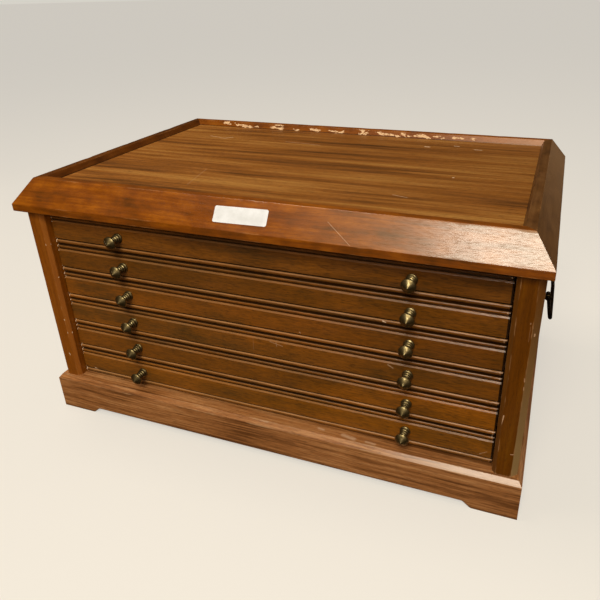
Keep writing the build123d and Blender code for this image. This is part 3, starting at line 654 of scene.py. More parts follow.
def plinthPiece(side):
    # An outline of (in from the outside, height) carried along one side: a board with a
    # bevelled top edge and a seat for the bottom board. Between the feet each point rises by
    # cut height x a smooth step of its distance from the foot x (1 - height / fade).
    size = {key: value * mm for key, value in plinth.items()}
    low, high = boxOf(*("plinth_" + way for way in railWays))
    top = high[2]
    seatStart = size["thickness"] - size["seat"]
    arris = size["arris"]
    corners = [(0, 0, arris / 2), (0, top - size["bevelRise"], arris),
               (size["bevelRun"], top, arris), (seatStart, top, 0),
               (seatStart, top - size["board"], 0),
               (size["thickness"], top - size["board"], 0), (size["thickness"], 0, arris / 2)]
    outline, bend = roundedOutline(corners, size["sideSpacing"])
    inset, height = outline.T
    rings, distance = railRings(side, low, high, inset, height, size["ringSpacing"],
                                endZone=size["endZone"])
    # The cut-out's slope is eased below and above by two square roots
    along = np.abs(np.array(railWays[side][0], float)) @ (high[:2] - low[:2]) / 2
    share = (along - size["foot"] - np.abs(distance)) / size["cutRun"]
    ease = size["cutEase"] / size["cutRun"]
    ramp = 0.5 * (np.sqrt(share ** 2 + ease ** 2) - np.sqrt((share - 1) ** 2 + ease ** 2) + 1)
    lift = ramp * size["cutHeight"] * np.clip(1 - height / size["cutFade"], 0, 1)
    rings[..., 2] += lift * (np.abs(distance) < along - 30 * mm)  # the mitres keep their place
    seed = list(railWays).index(side)
    rubAndHighlight = bend * (0.55 + 0.3 * unevenness(distance, size["rubLength"], 70 + seed))
    # Darker over the lowest millimetres, next to the floor
    grimeAndShade = np.exp(-height / size["darkeningReach"]) * 0.7 + 0 * distance
    paintedHighlight = np.zeros(distance.shape)
    # Painted glare on the front bevel, growing towards its right end
    if side == "front":
        onBevel = (inset < size["bevelRun"]) & (height > top - size["bevelRise"] - 0.1 * mm)
        grown = np.clip((rings[..., 0] - size["highlightStart"]) / size["highlightLength"], 0, 1)
        paintedHighlight = onBevel * grown * 0.5
    makePiece("plinth" + side.capitalize(), ringShell(rings), plinthWood[side], "case",
              ["plinth_" + side],
              {"rubAndHighlight": rubAndHighlight, "grimeAndShade": grimeAndShade, "paintedHighlight": paintedHighlight})


for side in railWays:
    plinthPiece(side)
print("plinth made")

# The corner posts: sizes in mm, and shares of wear and of painted highlight for the left and the
# right post
postSize = {"outerChamfer": 5.2, "innerChamfer": 3.3, "arris": 0.5, "dent": 0.3,
            "dentLength": 30, "rubLength": 18, "chipLength": 11, "footReach": 0.9, "rings": 150,
            "rubEdge": {"left": 0.3, "right": 0.4}, "highlightOuter": {"left": 0.1, "right": 0.9},
            "highlightInner": {"left": 0.3, "right": 0.06}, "chips": {"left": 0.5, "right": 0.15}}


def postPiece(name):
    # An outline seen from above, with both front corners chamfered, carried straight up. Its
    # arrises move back, and at the outer chamfer inward too, by dent x what a wave of the
    # height has over 0.3.
    hand = sideHands[name]
    low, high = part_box("post_" + name)
    front, back = low.y, high.y
    outer, inner = (high.x, low.x) if hand > 0 else (low.x, high.x)
    outerCut, innerCut = postSize["outerChamfer"] * mm, postSize["innerChamfer"] * mm
    arris = postSize["arris"] * mm
    corners = [(inner, back, 0), (inner, front + innerCut, arris),
               (inner + hand * innerCut, front, arris),
               (outer - hand * outerCut, front, arris), (outer, front + outerCut, arris),
               (outer, back, 0)]
    outline, bend = roundedOutline(corners, 1.0 * mm)
    x, y = outline.T
    z = np.linspace(low.z, high.z, postSize["rings"])[:, None]
    onOuter = (np.abs(x - outer) < outerCut) & (y < front + outerCut + 0.3 * mm)
    onInner = (np.abs(x - inner) < innerCut) & (y < front + innerCut + 0.3 * mm)
    dent = np.clip(unevenness(z, postSize["dentLength"] * mm, 80 + hand) - 0.3, 0, 1)
    dent = dent * bend * postSize["dent"] * mm
    rings = np.stack([x - hand * dent * onOuter, y + dent, z + 0 * x], -1)
    foot = np.exp(-(z - low.z) / (postSize["footReach"] * mm))
    rubAndHighlight = 1 + 0.6 * unevenness(z, postSize["rubLength"] * mm, 95 + hand)
    rubAndHighlight = postSize["rubEdge"][name] * bend * rubAndHighlight + 0.7 * foot
    # Painted highlight: the outer chamfer pales towards its foot, and the inner chamfer is paler
    # all along
    towardFoot = 1 - (z - low.z) / (high.z - low.z)
    paintedHighlight = onOuter * postSize["highlightOuter"][name] * towardFoot
    paintedHighlight = np.clip(paintedHighlight + onInner * postSize["highlightInner"][name], 0, 1)
    chips = np.clip(unevenness(z, postSize["chipLength"] * mm, 140 + hand) - 0.4, 0, 1)
    chips = chips * bend * onInner
    makePiece("post" + name.capitalize(), ringShell(rings), postWood[name], "case",
              ["post_" + name],
              {"rubAndHighlight": rubAndHighlight, "paintedHighlight": paintedHighlight, "bare": chips * postSize["chips"][name] * 1.6})


for name in sideHands:
    postPiece(name)
print("posts made")

# Drawer fronts, in mm. The ends' rings stand at these shares of the wall's thickness.
drawerSize = {"lowBead": 4.0, "quirkWidth": 1.4, "quirkDepth": 3.7, "fieldTop": 22.55,
              "arrisTop": 23.95, "arrisDepth": 1.1, "grooveDepth": 2.4, "topBead": 2.8,
              "lap": 5.0, "wallThickness": 7.0, "wallLift": 5.0, "wallHeight": 22.0,
              "edge": 0.35, "endRound": 0.5, "wave": 0.10, "waveLength": 60,
              "sideSpacing": 1.2}
drawerRings = {"middle": 160,
               "ends": [1, 0.6, 0.42, 0.32, 0.24, 0.2, 0.16, 0.12, 0.05, 0.015, 0]}
# A painted highlight pales what faces up and out: shares for the low bead, the field's edge and
# the top bead, shares of the two highest fronts, and how much is lost towards the right. The
# worn tips, the painted shade in the quirk, the groove and the gaps, which is partly grime, and
# the painted shadow at the right end are shares too, and a reach or a place is in mm from its end.
drawerWearAndLight = {"facing": 47, "facingSpread": 15, "lowBead": 0.88, "fieldEdge": 0.46,
              "topBead": 0.26, "fronts": {1: 0.65, 2: 0.85}, "lostRight": 0.15,
              "lostRightEdge": 0.5, "leftTip": 0.8, "leftReach": 1.5, "rightTip": 0.42,
              "rightPlace": 2.2, "rightReach": 0.9, "quirkShade": 0.95, "grooveShade": 0.6,
              "gapShade": 1.1, "endShadow": 1.3, "endReach": 1.3}


def drawerFrontPiece(number):
    # The moulding's outline, as (in from the face, up from the foot), carried along x. Depth =
    # outline + a quarter round at the ends + a slow wave of x on the arrises.
    node = "drawer_%d_front" % number
    low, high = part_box(node)
    size = {key: value * mm for key, value in drawerSize.items()}
    tall, thick = high.z - low.z, high.y - low.y
    edge = size["edge"]
    lowRound, topRound = size["lowBead"] * 0.495, size["topBead"] * 0.495
    quirkTop = size["lowBead"] + size["quirkWidth"]
    grooveTop = tall - size["topBead"]
    corners = [(0, 0, lowRound), (0, size["lowBead"], lowRound),
               (size["quirkDepth"], size["lowBead"], edge / 2),
               (size["quirkDepth"], quirkTop, edge / 2), (0, quirkTop, edge),
               (0, size["fieldTop"], edge), (size["arrisDepth"], size["arrisTop"], edge),
               (size["grooveDepth"], size["arrisTop"], edge / 2),
               (size["grooveDepth"], grooveTop, edge / 2), (0, grooveTop, topRound),
               (0, tall, topRound), (thick, tall, 0)]
    moulded, bend = roundedOutline(corners + [(thick, 0, 0)], size["sideSpacing"])
    # The back has two outlines, plain in the middle and cut back for the walls at the ends
    housing = np.array([(thick, size["wallLift"] + size["wallHeight"]),
                        (thick - size["lap"], size["wallLift"] + size["wallHeight"]),
                        (thick - size["lap"], size["wallLift"]), (thick, size["wallLift"])])
    last = int(np.argmax((moulded[:, 0] > thick - 1e-9) & (moulded[:, 1] > tall - 1e-9)))
    foot = int(np.argmax((moulded[:, 0] > thick - 1e-9) & (moulded[:, 1] < 1e-9)))
    moulded = np.concatenate([moulded[:last + 1], housing, moulded[foot:]])
    bend = np.concatenate([bend[:last + 1], np.zeros(4), bend[foot:]])
    plain = moulded.copy()
    plain[last + 2:last + 4, 0] = thick
    inner = (high.x - low.x) / 2 - size["wallThickness"]
    outer = (high.x - low.x) / 2
    middle = np.linspace(-inner, inner, drawerRings["middle"])
    ends = outer - size["wallThickness"] * np.array(drawerRings["ends"])
    x = np.concatenate([-ends[::-1], middle, ends])
    lapped = np.concatenate([np.ones(len(ends)), np.zeros(len(middle)), np.ones(len(ends))]) > 0
    outline = np.where(lapped[:, None, None], moulded, plain)
    # Worn ends: the moulding draws in over the last half millimetre, as a quarter round
    nearEnd = np.clip(1 - (outer - np.abs(x)) / size["endRound"], 0, 1)[:, None]
    drawn = (1 - np.sqrt(1 - nearEnd ** 2 * 0.99)) * size["endRound"] * 0.7
    onFace = outline[..., 0] < thick - size["lap"]
    wave = unevenness(x, size["waveLength"], 100 + number)[:, None] * size["wave"] * bend
    depth = outline[..., 0] + drawn * onFace + wave * onFace * (outline[..., 0] < 2 * mm)
    rings = np.stack([x[:, None] + 0 * depth, low.y + np.maximum(depth, 0),
                      low.z + outline[..., 1]], -1)
    up = outline[..., 1]
    hollow = (outline[..., 0] > 0.9 * mm) & (outline[..., 0] < 4 * mm)
    inQuirk = hollow & (up > size["lowBead"] * 0.75) & (up < quirkTop + 0.1 * mm)
    inGroove = hollow & (up > size["arrisTop"] - 0.1 * mm) & (up < grooveTop + 1.2 * mm)
    # Painted highlight on what faces up and out: a bell round 47 degrees of the outline's turn
    wearAndLight = drawerWearAndLight
    direction = np.roll(moulded, -1, axis=0) - np.roll(moulded, 1, axis=0)
    facing = np.degrees(np.arctan2(-direction[:, 0], direction[:, 1]))
    bell = np.exp(-((np.abs(facing) - wearAndLight["facing"]) / wearAndLight["facingSpread"]) ** 2)
    facing = bell * (facing < 0) * (moulded[:, 0] < size["lowBead"] / 2)
    topWeight = 0.0 if number == 1 else wearAndLight["topBead"]
    weight = np.where(moulded[:, 1] > grooveTop - 0.1 * mm, topWeight,
                      np.where(moulded[:, 1] > size["fieldTop"] - 0.3 * mm, wearAndLight["fieldEdge"],
                               wearAndLight["lowBead"]))
    weight = weight * wearAndLight["fronts"].get(number, 1.0)
    paintedHighlight = weight * facing * (0.85 + 0.2 * unevenness(x, 50 * mm, 120 + number)[:, None])
    towardRight = np.clip(x / outer, 0, 1)[:, None]
    onArris = (moulded[:, 1] > size["fieldTop"] - 0.3 * mm) & (moulded[:, 1] < grooveTop)
    paintedHighlight = paintedHighlight * (1 - (wearAndLight["lostRight"] + wearAndLight["lostRightEdge"] * onArris) * towardRight)
    # Painted light: a little paler towards the left end
    paintedHighlight = paintedHighlight + 0.05 * (0.5 - x[:, None] / (2 * outer))
    # Rubbing at the ends, and a painted highlight on what faces up and out
    rubAndHighlight = 0.3 * facing + 0.5 * nearEnd * onFace
    fromLeft, fromRight = outer + x[:, None], outer - x[:, None]
    tips = wearAndLight["leftTip"] * np.exp(-fromLeft / (wearAndLight["leftReach"] * mm))
    tips = tips + wearAndLight["rightTip"] * np.exp(
        -((fromRight - wearAndLight["rightPlace"] * mm) / (wearAndLight["rightReach"] * mm)) ** 2)
    bare = tips * bend * (outline[..., 0] < 2 * mm)
    # Painted shade, partly grime, in the quirk and the groove and along the gaps between fronts
    inGap = (outline[..., 0] < 3 * mm) & ((up < 0.5 * mm) | (up > tall - 0.35 * mm))
    grimeAndShade = np.maximum(np.maximum(inQuirk * wearAndLight["quirkShade"], inGroove * wearAndLight["grooveShade"]),
                      inGap * wearAndLight["gapShade"])
    # Painted shadow along the right end, in the gap beside the post
    grimeAndShade = np.maximum(grimeAndShade, wearAndLight["endShadow"] * (fromRight < wearAndLight["endReach"] * mm))
    makePiece("drawer%dFront" % number, ringShell(rings), drawerWood[number],
              "drawer_%d" % number, [node],
              {"grimeAndShade": grimeAndShade, "rubAndHighlight": rubAndHighlight, "paintedHighlight": np.clip(paintedHighlight, 0, 1), "bare": bare})


for number in drawerNumbers:
    drawerFrontPiece(number)
print("drawer fronts made")

# Turned knobs: sizes in mm, droop and tilt in degrees, and points round each part
knobSize = {"headRadius": 6.3, "shankRadius": 1.9, "nutRadius": 3.6, "nutThickness": 2.4,
            "shankSpare": 1.0, "droop": 2.0, "tilt": 1.6, "hollowDepth": 0.6}
knobAround = {"knob": 48, "shank": 20, "nut": 6}
# Outline as shares of (head radius, length), from the rose to the tip
knobShares = [
    (0.78, 0.0), (0.79, 0.025), (0.785, 0.055), (0.73, 0.08), (0.60, 0.105), (0.555, 0.125),
    (0.56, 0.145), (0.64, 0.17), (0.685, 0.195), (0.68, 0.215), (0.62, 0.24), (0.53, 0.26),
    (0.52, 0.28), (0.585, 0.31), (0.62, 0.335), (0.59, 0.36), (0.49, 0.385), (0.46, 0.41),
    (0.53, 0.44), (0.555, 0.46), (0.53, 0.48), (0.455, 0.505), (0.45, 0.53), (0.56, 0.57),
    (0.78, 0.62), (0.94, 0.665), (1.0, 0.705), (1.0, 0.735), (0.97, 0.755), (0.93, 0.775),
    (0.74, 0.825), (0.55, 0.87), (0.36, 0.915), (0.17, 0.96), (0.06, 0.99), (0.004, 1.0)]


def smoothThrough(points, steps):
    # A curve through the points: a cubic from each one to the next, whose slope at a point is
    # half the step from the point before it to the point after it
    points = np.asarray(points, float)
    ends = np.concatenate([2 * points[:1] - points[1:2], points,
                           2 * points[-1:] - points[-2:-1]])
    a, b, c, d = ends[:-3, None], ends[1:-2, None], ends[2:-1, None], ends[3:, None]
    t = np.linspace(0, 1, steps, endpoint=False)[None, :, None]
    curve = 0.5 * (2 * b + (c - a) * t + (2 * a - 5 * b + 4 * c - d) * t ** 2
                   + (3 * b - a - 3 * c + d) * t ** 3)
    return np.concatenate([curve.reshape(-1, points.shape[1]), points[-1:]])


def turnedShell(radius, reach, around):
    # An outline turned about the y axis: x = radius cos angle, y = reach, z = radius sin angle
    angle = np.linspace(0, fullTurn, around, endpoint=False)
    return np.stack([radius[:, None] * np.cos(angle), reach[:, None] + 0 * angle,
                     radius[:, None] * np.sin(angle)], -1)


def knobPiece(number):
    # Each knob is turned from the outline of shares and droops a little: a point goes from its
    # straight place to its tilted one by its share of the length. Behind the front there are
    # a round shank and a six-sided nut. The recess field is how far an outline point lies
    # inside the running mean of its neighbours.
    node = "drawer_%d_knobs" % number
    low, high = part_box(node)
    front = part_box("drawer_%d_front" % number)
    size = {key: value * mm for key, value in knobSize.items()}
    face, behind = front[0].y, front[1].y
    length = face - low.y
    level = (low.z + high.z) / 2
    offset = (high.x - low.x) / 2 - size["headRadius"]
    curve = smoothThrough(knobShares, 3)
    radius, out = np.clip(curve[:, 0], 0.004, 1) * size["headRadius"], curve[:, 1] * length
    slow = np.convolve(np.pad(radius, 7, mode="edge"), np.ones(15) / 15, mode="valid")
    hollow = np.clip((slow - radius) / size["hollowDepth"], 0, 1)
    hollow[curve[:, 1] > 0.6] = 0  # the head has no hollows
    shankEnd = behind + size["nutThickness"] + size["shankSpare"]
    shank = turnedShell(size["shankRadius"] * np.array([0.98, 0.98, 0.8]),
                        np.array([face, shankEnd - 0.4 * mm, shankEnd]) - face,
                        knobAround["shank"])
    nut = turnedShell(size["nutRadius"] * np.array([0.9, 1.0, 1.0, 0.9]),
                      behind - face + size["nutThickness"] * np.array([0, 0.12, 0.88, 1]),
                      knobAround["nut"])
    shells, fields = [], []
    draw = np.random.default_rng(200 + number)
    for hand in (-1, 1):
        knob = turnedShell(radius, -out, knobAround["knob"])
        droop = knobSize["droop"] + draw.uniform(-1, 1) * knobSize["tilt"]
        aside = draw.uniform(-1, 1) * knobSize["tilt"]
        lean = Matrix.Rotation(math.radians(droop), 3, "X")
        lean = lean @ Matrix.Rotation(math.radians(aside), 3, "Z")
        share = np.clip(out / length, 0, 1)[:, None, None]
        knob = knob * (1 - share) + (knob @ np.array(lean).T) * share
        knob[..., 1] = np.maximum(knob[..., 1], -length)
        centre = np.array([hand * offset, face, level])
        for part, recess in ((knob, hollow[:, None]), (shank, 0.3), (nut, 0.4)):
            shells.append(ringShell(part + centre))
            fields.append((recess + np.zeros(part.shape[:2])).ravel())
    makePiece("drawer%dKnobs" % number, joinShells(shells), knobBrass, "drawer_%d" % number,
              [node], {"recess": np.concatenate(fields)})


for number in drawerNumbers:
    knobPiece(number)
print("knobs made")

# Drop handles, in mm, how far the bail leans out at rest, in degrees, and the shares by which
# its rod is thinner at the top of an arm and at the ends of the bar
handle = {"standoff": 4.5, "eyeSpacing": 93.0, "eyeRadius": 3.0, "eyeThickness": 4.0,
          "shankRadius": 1.9, "roseRadius": 7.0, "roseThickness": 1.4, "armInset": 6.8,
          "drop": 27.2, "rod": 1.9, "corner": 6.5, "pin": 1.5, "pinSpare": 0.9, "boss": 2.25}
bailLean = 10.6
rodThinner = {"top": 0.16, "aside": 0.04}
handleSize = {key: value * mm for key, value in handle.items()}


def handlePlace(hand):
    # The point of a side board's outer face that lies midway between its two eyes
    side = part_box("side_right" if hand > 0 else "side_left")
    low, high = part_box("handle_eye_bolts")
    return np.array([side[1].x if hand > 0 else side[0].x, (low.y + high.y) / 2,
                     (low.z + high.z) / 2])


def bailPiece(name):
    # A round rod carried along a U, which is one half and its mirror image: point = path +
    # radius x (sine of the angle across it, cosine along the path's normal). A ball joins each
    # arm to its pin, and the whole is turned about the pins by the lean.
    hand = sideHands[name]
    size = handleSize
    pivot = handlePlace(hand) + np.array([hand * size["standoff"], 0, 0])
    arm = size["eyeSpacing"] / 2 - size["armInset"]
    corner, drop = size["corner"], size["drop"]
    turn = np.linspace(0, math.pi / 2, 12)
    # Down one arm, round a quarter turn, along the bar, round again and up
    curve = np.stack([arm - corner + corner * np.cos(turn),
                      -drop + corner - corner * np.sin(turn)], -1)
    down = np.stack([np.full(8, arm), np.linspace(0, -drop + corner, 8)], -1)[:-1]
    bar = np.stack([np.linspace(arm - corner, 0, 12), np.full(12, -drop)], -1)[1:]
    half = np.concatenate([down, curve, bar])
    path = np.concatenate([half, (half * [-1, 1])[-2::-1]])
    tangent = np.gradient(path, axis=0)
    tangent /= np.linalg.norm(tangent, axis=1, keepdims=True)
    normal = np.stack([-tangent[:, 1], tangent[:, 0]], -1)
    # The rod is thickest at the middle of its bar and thins towards the eyes
    away = np.abs(path[:, 0]) / arm
    raised = np.clip(1 + path[:, 1] / (drop * 0.6), 0, 1)
    radius = size["rod"] * (1.0 - rodThinner["top"] * raised)
    radius = radius * (1.0 - rodThinner["aside"] * away)
    angle = np.linspace(0, fullTurn, 24, endpoint=False)
    rings = np.zeros((len(path), 24, 3))
    rings[..., 0] = radius[:, None] * np.sin(angle)
    rings[..., 1:] = path[:, None] + (radius[:, None] * np.cos(angle))[..., None] * normal[:, None]
    shells = [ringShell(rings)]
    for way in (-1, 1):
        swell = np.linspace(-1, 1, 15)
        boss = turnedShell(size["boss"] * np.sqrt(np.maximum(1 - swell ** 2, 1e-4)),
                           size["boss"] * swell, 24)
        shells.append(ringShell(boss + np.array([0, way * arm, 0])))
        end = size["eyeSpacing"] / 2 + size["eyeThickness"] / 2 + size["pinSpare"]
        reach = np.array([arm, end - 0.5 * mm, end - 0.15 * mm, end]) * way
        pin = turnedShell(size["pin"] * np.array([1, 1, 0.85, 0.35]), reach, 20)
        shells.append(ringShell(pin))
    points, faces = joinShells(shells)
    lean = Matrix.Rotation(-hand * math.radians(bailLean), 3, "Y")
    points = points @ np.array(lean).T + pivot
    makePiece("bail" + name.capitalize(), (points, faces), handleBronze, "bail_" + name,
              ["bail_" + name])


for name in sideHands:
    bailPiece(name)


def eyesAndRoses():
    # An eye is a rounded rectangle of (from the pin, along the pin) turned once round the pin,
    # and its last ring is the first again. A stem and a rose are outlines turned about x.
    size = handleSize
    bore, rim = size["pin"] + 0.1 * mm, size["eyeThickness"] / 2
    outline, _ = roundedOutline([(bore, -rim, 0.3 * mm), (size["eyeRadius"], -rim, 0.8 * mm),
                                 (size["eyeRadius"], rim, 0.8 * mm), (bore, rim, 0.3 * mm)],
                                1 * mm)
    angle = np.linspace(0, fullTurn, 41)[:, None]
    ring = np.stack([outline[:, 0] * np.cos(angle), outline[:, 1] + 0 * angle,
                     outline[:, 0] * np.sin(angle)], -1)
    eyePoints, eyeFaces = ringShell(ring)
    keep = len(eyePoints) - ring.shape[1]
    eyeFaces = (np.array(eyeFaces[:-2]) % keep).tolist()
    shank = np.array([0.3 * mm, size["standoff"] - size["eyeRadius"] * 0.9])
    stem = turnedShell(np.full(2, size["shankRadius"]), shank, 20)[..., [1, 0, 2]]
    radius = size["roseRadius"] * np.array([1, 1, 0.97, 0.86, 0.6, 0.5, 0.42, 0.3])
    rise = size["roseThickness"] * np.array([0, 0.35, 0.6, 0.82, 0.9, 0.9, 1.0, 1.0])
    rose = turnedShell(radius, rise, 40)[..., [1, 0, 2]]
    eyeShells, roseShells = [], []
    for hand in sideHands.values():
        for way in (-1, 1):
            spot = handlePlace(hand) + np.array([0, way * size["eyeSpacing"] / 2, 0])
            centre = spot + np.array([hand * size["standoff"], 0, 0])
            eyeShells.append((eyePoints[:keep] + centre, eyeFaces))
            eyeShells.append(ringShell(stem * [hand, 1, 1] + spot))
            roseShells.append(ringShell(rose * [hand, 1, 1] + spot))
    makePiece("handleEyes", joinShells(eyeShells), handleBronze, "case",
              ["handle_eye_bolts"])
    makePiece("handleRoses", joinShells(roseShells), handleBronze, "case",
              ["handle_roses"])


eyesAndRoses()
print("handles made")

# Blank paper label on the front bevel, in mm, and its turn in degrees
labelSize = {"width": 49.2, "height": 14.3, "corner": 1.6, "shift": -3.5, "turn": 1.2,
             "thickness": 0.18, "curl": 1.4, "curlFrom": 1.35, "glue": 0.02, "spacing": 2.0}


def labelPiece():
    # A rounded rectangle times shares from near 0 to 1 and back, laid on the bevel. Rise = curl
    # x the square of what its two shares towards one corner add up to over 1.35.
    low, _ = boxOf("cornice_front")
    size = {key: value * mm for key, value in labelSize.items()}
    slope = math.atan2(cornice["bevelRise"], cornice["bevelRun"])
    width, tall, corner = size["width"] / 2, size["height"] / 2, size["corner"]
    outline, _ = roundedOutline([(-width, -tall, corner), (width, -tall, corner),
                                 (width, tall, corner), (-width, tall, corner)],
                                size["spacing"])
    # Rings run out over the underside and back over the top, and one corner lifts a little
    share = np.concatenate([np.linspace(0.02, 1, 8), np.linspace(1, 0.02, 8)])
    flat = outline[None] * share[:, None, None]
    lift = np.clip((flat[..., 0] / -width + flat[..., 1] / -tall) - labelSize["curlFrom"], 0, 1)
    rise = lift ** 2 * size["curl"]
    rise = rise + np.repeat([size["glue"], size["thickness"]], 8)[:, None]
    turn = math.radians(labelSize["turn"])
    x = flat[..., 0] * math.cos(turn) - flat[..., 1] * math.sin(turn)
    up = flat[..., 0] * math.sin(turn) + flat[..., 1] * math.cos(turn)
    middle = np.array([size["shift"], low[1] + cornice["bevelRun"] * mm / 2,
                       low[2] + (cornice["fillet"] + cornice["bevelRise"] / 2) * mm])
    rings = np.stack([x, up * math.cos(slope) - rise * math.sin(slope),
                      up * math.sin(slope) + rise * math.cos(slope)], -1) + middle
    makePiece("label", ringShell(rings), paper, "case", ["label"])


labelPiece()


# Baize linings, in mm: corner radius, outline spacing, and the depth and lengths of the pucker
lining = {"corner": 2, "spacing": 6, "pucker": 0.25, "alongLength": 50, "acrossLength": 60}


def liningPiece(number):
    # Baize glued flat on the drawer's bottom: a rounded rectangle times shares from near 0 to 1
    # and back. Its top moves by pucker x (a wave of x times a wave of y - 0.6), and never above
    # the solid's.
    node, body = "drawer_%d_lining" % number, "drawer_%d" % number
    size = {key: value * mm for key, value in lining.items()}
    low, high = boxOf(node)
    centre, half = (low + high) / 2, (high - low) / 2
    width, deep, corner = half[0], half[1], size["corner"]
    outline, _ = roundedOutline([(-width, -deep, corner), (width, -deep, corner),
                                 (width, deep, corner), (-width, deep, corner)],
                                size["spacing"])
    share = np.concatenate([np.linspace(0.02, 0.99, 22), [1.0], np.linspace(0.99, 0.02, 22)])
    flat = outline[None] * share[:, None, None]
    pucker = size["pucker"] * (unevenness(flat[..., 0], size["alongLength"], 300 + number)
                               * unevenness(flat[..., 1], size["acrossLength"], 310 + number)
                               - 0.6)
    level = np.concatenate([np.full(22, low[2]), [centre[2]], np.full(22, high[2])])[:, None]
    top = np.concatenate([np.zeros(23), np.ones(22)])[:, None]
    rings = np.stack([centre[0] + flat[..., 0], centre[1] + flat[..., 1],
                      np.minimum(level + top * pucker, high[2])], -1)
    piece = makePiece("drawer%dLining" % number, ringShell(rings), baize, body, [node])


for number in drawerNumbers:
    liningPiece(number)
print("label and linings made")

# CAD nodes whose shape is right get these finishes
finishes = {"top_panel": panelWood, "side_left": sideWood, "side_right": sideWood,
            "back_board": backWood, "bottom_board": plinthWood["front"],
            "plinth_glue_blocks": innerWood, "sub_top": innerWood, "liner_left": wallWood,
            "liner_right": wallWood, "runners_left": wallWood, "runners_right": wallWood,
            "runner_pins": screwMetal, "back_screws": screwMetal, "top_screws": screwMetal}
for number in drawerNumbers:
    finishes["drawer_%d_walls" % number] = wallWood
    finishes["drawer_%d_bottom" % number] = wallWood
for node, material in finishes.items():
    nodes[node].data.materials.clear()
    nodes[node].data.materials.append(material)
print("CAD nodes finished")

# Camera as the photograph was taken: place in mm, turns in radians, and the lens and the point
# straight ahead in pixels of a frame 600 wide
view = {"place": (230.3, -559.2, 415.9), "pitch": -0.458, "roll": 0.022, "yaw": 0.366,
        "focalPixels": 596.8, "centre": (330.4, 280.3), "frame": 600, "sensor": 36.0}
turn = (Matrix.Rotation(view["yaw"], 3, "Z") @ Matrix.Rotation(view["pitch"], 3, "X")
        @ Matrix.Rotation(view["roll"], 3, "Y"))
across, ahead, upward = (turn @ Vector(way) for way in ((1, 0, 0), (0, 1, 0), (0, 0, 1)))
lens = bpy.data.cameras.new("camera")
lens.sensor_width = view["sensor"]
lens.lens = view["focalPixels"] / view["frame"] * view["sensor"]
lens.shift_x = 0.5 - view["centre"][0] / view["frame"]
lens.shift_y = view["centre"][1] / view["frame"] - 0.5
lens.clip_start, lens.clip_end = 0.01, 100
camera = bpy.data.objects.new("camera", lens)
aim = Matrix((across, upward, -ahead)).transposed().to_4x4()
camera.matrix_world = Matrix.Translation(Vector(view["place"]) * mm) @ aim
bpy.context.scene.collection.objects.link(camera)
bpy.context.scene.camera = camera

# Soft studio light, in metres and watts. From the photograph's place the front bevel mirrors
# the high lamp, and the back rail the low one, at their right ends. The fills stand lower than
# the cornice and light the sides with no glare on the bevels. Spread is in degrees.
lamps = {
    "highLamp": {"place": (0.25, -1.17, 1.46), "aim": (0.1, -0.1, 0.2), "size": (0.64, 0.36),
                 "power": 15.5, "colour": "#FDFAE8"},
    "lowLamp": {"place": (0.3, -1.3, 1.0), "aim": (0.1, 0, 0.12), "size": (0.44, 0.4),
                "power": 6.5, "colour": "#FFF4E6"},
    "leftLamp": {"place": (-0.6, -0.1, 1.9), "aim": (0.0, -0.1, 0.15),
                 "size": (0.9, 0.5), "power": 12, "colour": "#FFF4E6"},
    "rightFill": {"place": (1.5, 0.4, 0.14), "aim": (0.1, 0.1, 0.12), "size": (0.6, 0.2),
                  "power": 0.4, "colour": "#FFF4E6", "spread": 60},
    "leftFill": {"place": (-1.5, 0.2, 0.14), "aim": (-0.1, 0, 0.12), "size": (0.6, 0.2),
                 "power": 0.6, "colour": "#FFF4E6", "spread": 60},
    "topLamp": {"place": (0.0, 0.3, 1.95), "aim": (0, 0, 0.2), "size": (1.0, 1.0),
                "power": 3, "colour": "#FFF4E6"},
}
for name, lamp in lamps.items():
    light = bpy.data.lights.new(name, "AREA")
    light.shape, (light.size, light.size_y) = "RECTANGLE", lamp["size"]
    light.energy, light.color = lamp["power"], hexLinear(lamp["colour"])[:3]
    light.spread = math.radians(lamp.get("spread", 180))
    stand = bpy.data.objects.new(name, light)
    stand.location = lamp["place"]
    toward = Vector(lamp["aim"]) - Vector(lamp["place"])
    stand.rotation_euler = toward.to_track_quat("-Z", "Y").to_euler()
    bpy.context.scene.collection.objects.link(stand)

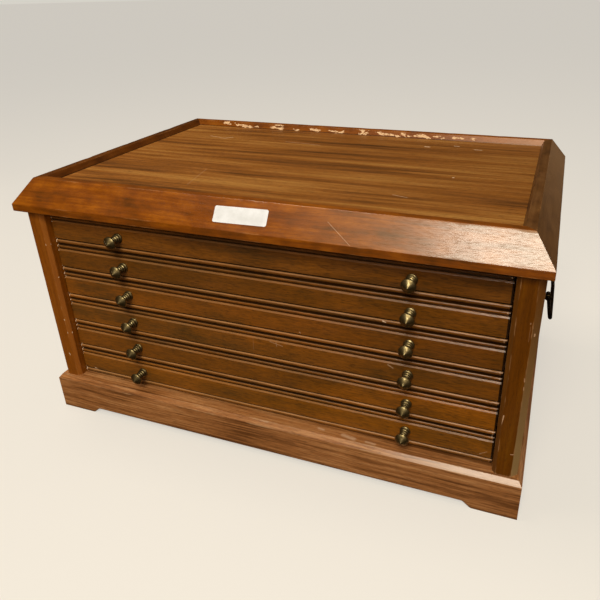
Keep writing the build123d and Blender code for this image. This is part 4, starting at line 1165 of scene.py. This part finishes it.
# The camera sees a pale room, polished faces mirror a dim brown one, and matt faces are lit by
# a third, the ambient
room = {"ambient": "#F3EBDD", "strength": 0.22, "backdrop": "#D6D2C8",
        "mirrored": "#B08858", "reflected": 0.13,
        "floor": "#E6DCCB", "floorBounce": "#9A9184", "floorSeen": "#F3EEE5", "floorLight": 0.62,
        "floorReflected": 0.06, "floorRadius": 30.0}
world = bpy.data.worlds.new("studio")
bpy.context.scene.world = world
world.use_nodes = True
sky = world.node_tree
sky.nodes.clear()
ray = put(sky, "LightPath")
soft = put(sky, "Background", {"Color": hexLinear(room["ambient"]),
                               "Strength": room["strength"]})
seen = put(sky, "Background", {"Color": hexLinear(room["backdrop"]), "Strength": 1.0})
dim = put(sky, "Background", {"Color": hexLinear(room["mirrored"]),
                              "Strength": room["reflected"]})
mixed = put(sky, "MixShader", {0: ray.outputs["Is Glossy Ray"], 1: soft, 2: dim})
mixed = put(sky, "MixShader", {0: ray.outputs["Is Camera Ray"], 1: mixed, 2: seen})
put(sky, "OutputWorld", {"Surface": mixed})

angle = np.linspace(0, fullTurn, 96, endpoint=False)
disc = np.stack([np.cos(angle), np.sin(angle), 0 * angle], -1) * room["floorRadius"]
floorMesh = bpy.data.meshes.new("floor")
floorMesh.from_pydata(disc.tolist(), [], [list(range(96))])
floorMaterial, floorTree = emptyMaterial("plainPaleFloor")
floorRay = put(floorTree, "LightPath")
matt = put(floorTree, "BsdfDiffuse", {"Color": hexLinear(room["floor"])})
bounce = put(floorTree, "BsdfDiffuse", {"Color": hexLinear(room["floorBounce"])})
lit = put(floorTree, "Emission", {"Color": hexLinear(room["floorSeen"])})
lit = put(floorTree, "MixShader", {0: room["floorLight"], 1: matt, 2: lit})
dark = put(floorTree, "Emission", {"Color": hexLinear(room["mirrored"]),
                                   "Strength": room["floorReflected"]})
floorShader = put(floorTree, "MixShader", {0: floorRay.outputs["Is Camera Ray"],
                                           1: bounce, 2: lit})
floorShader = put(floorTree, "MixShader", {0: floorRay.outputs["Is Glossy Ray"],
                                           1: floorShader, 2: dark})
put(floorTree, "OutputMaterial", {"Surface": floorShader})
floorMesh.materials.append(floorMaterial)
floor = bpy.data.objects.new("floor", floorMesh)
bpy.context.scene.collection.objects.link(floor)
bpy.context.scene.view_settings.view_transform = "Standard"
print("camera, lamps and floor made")
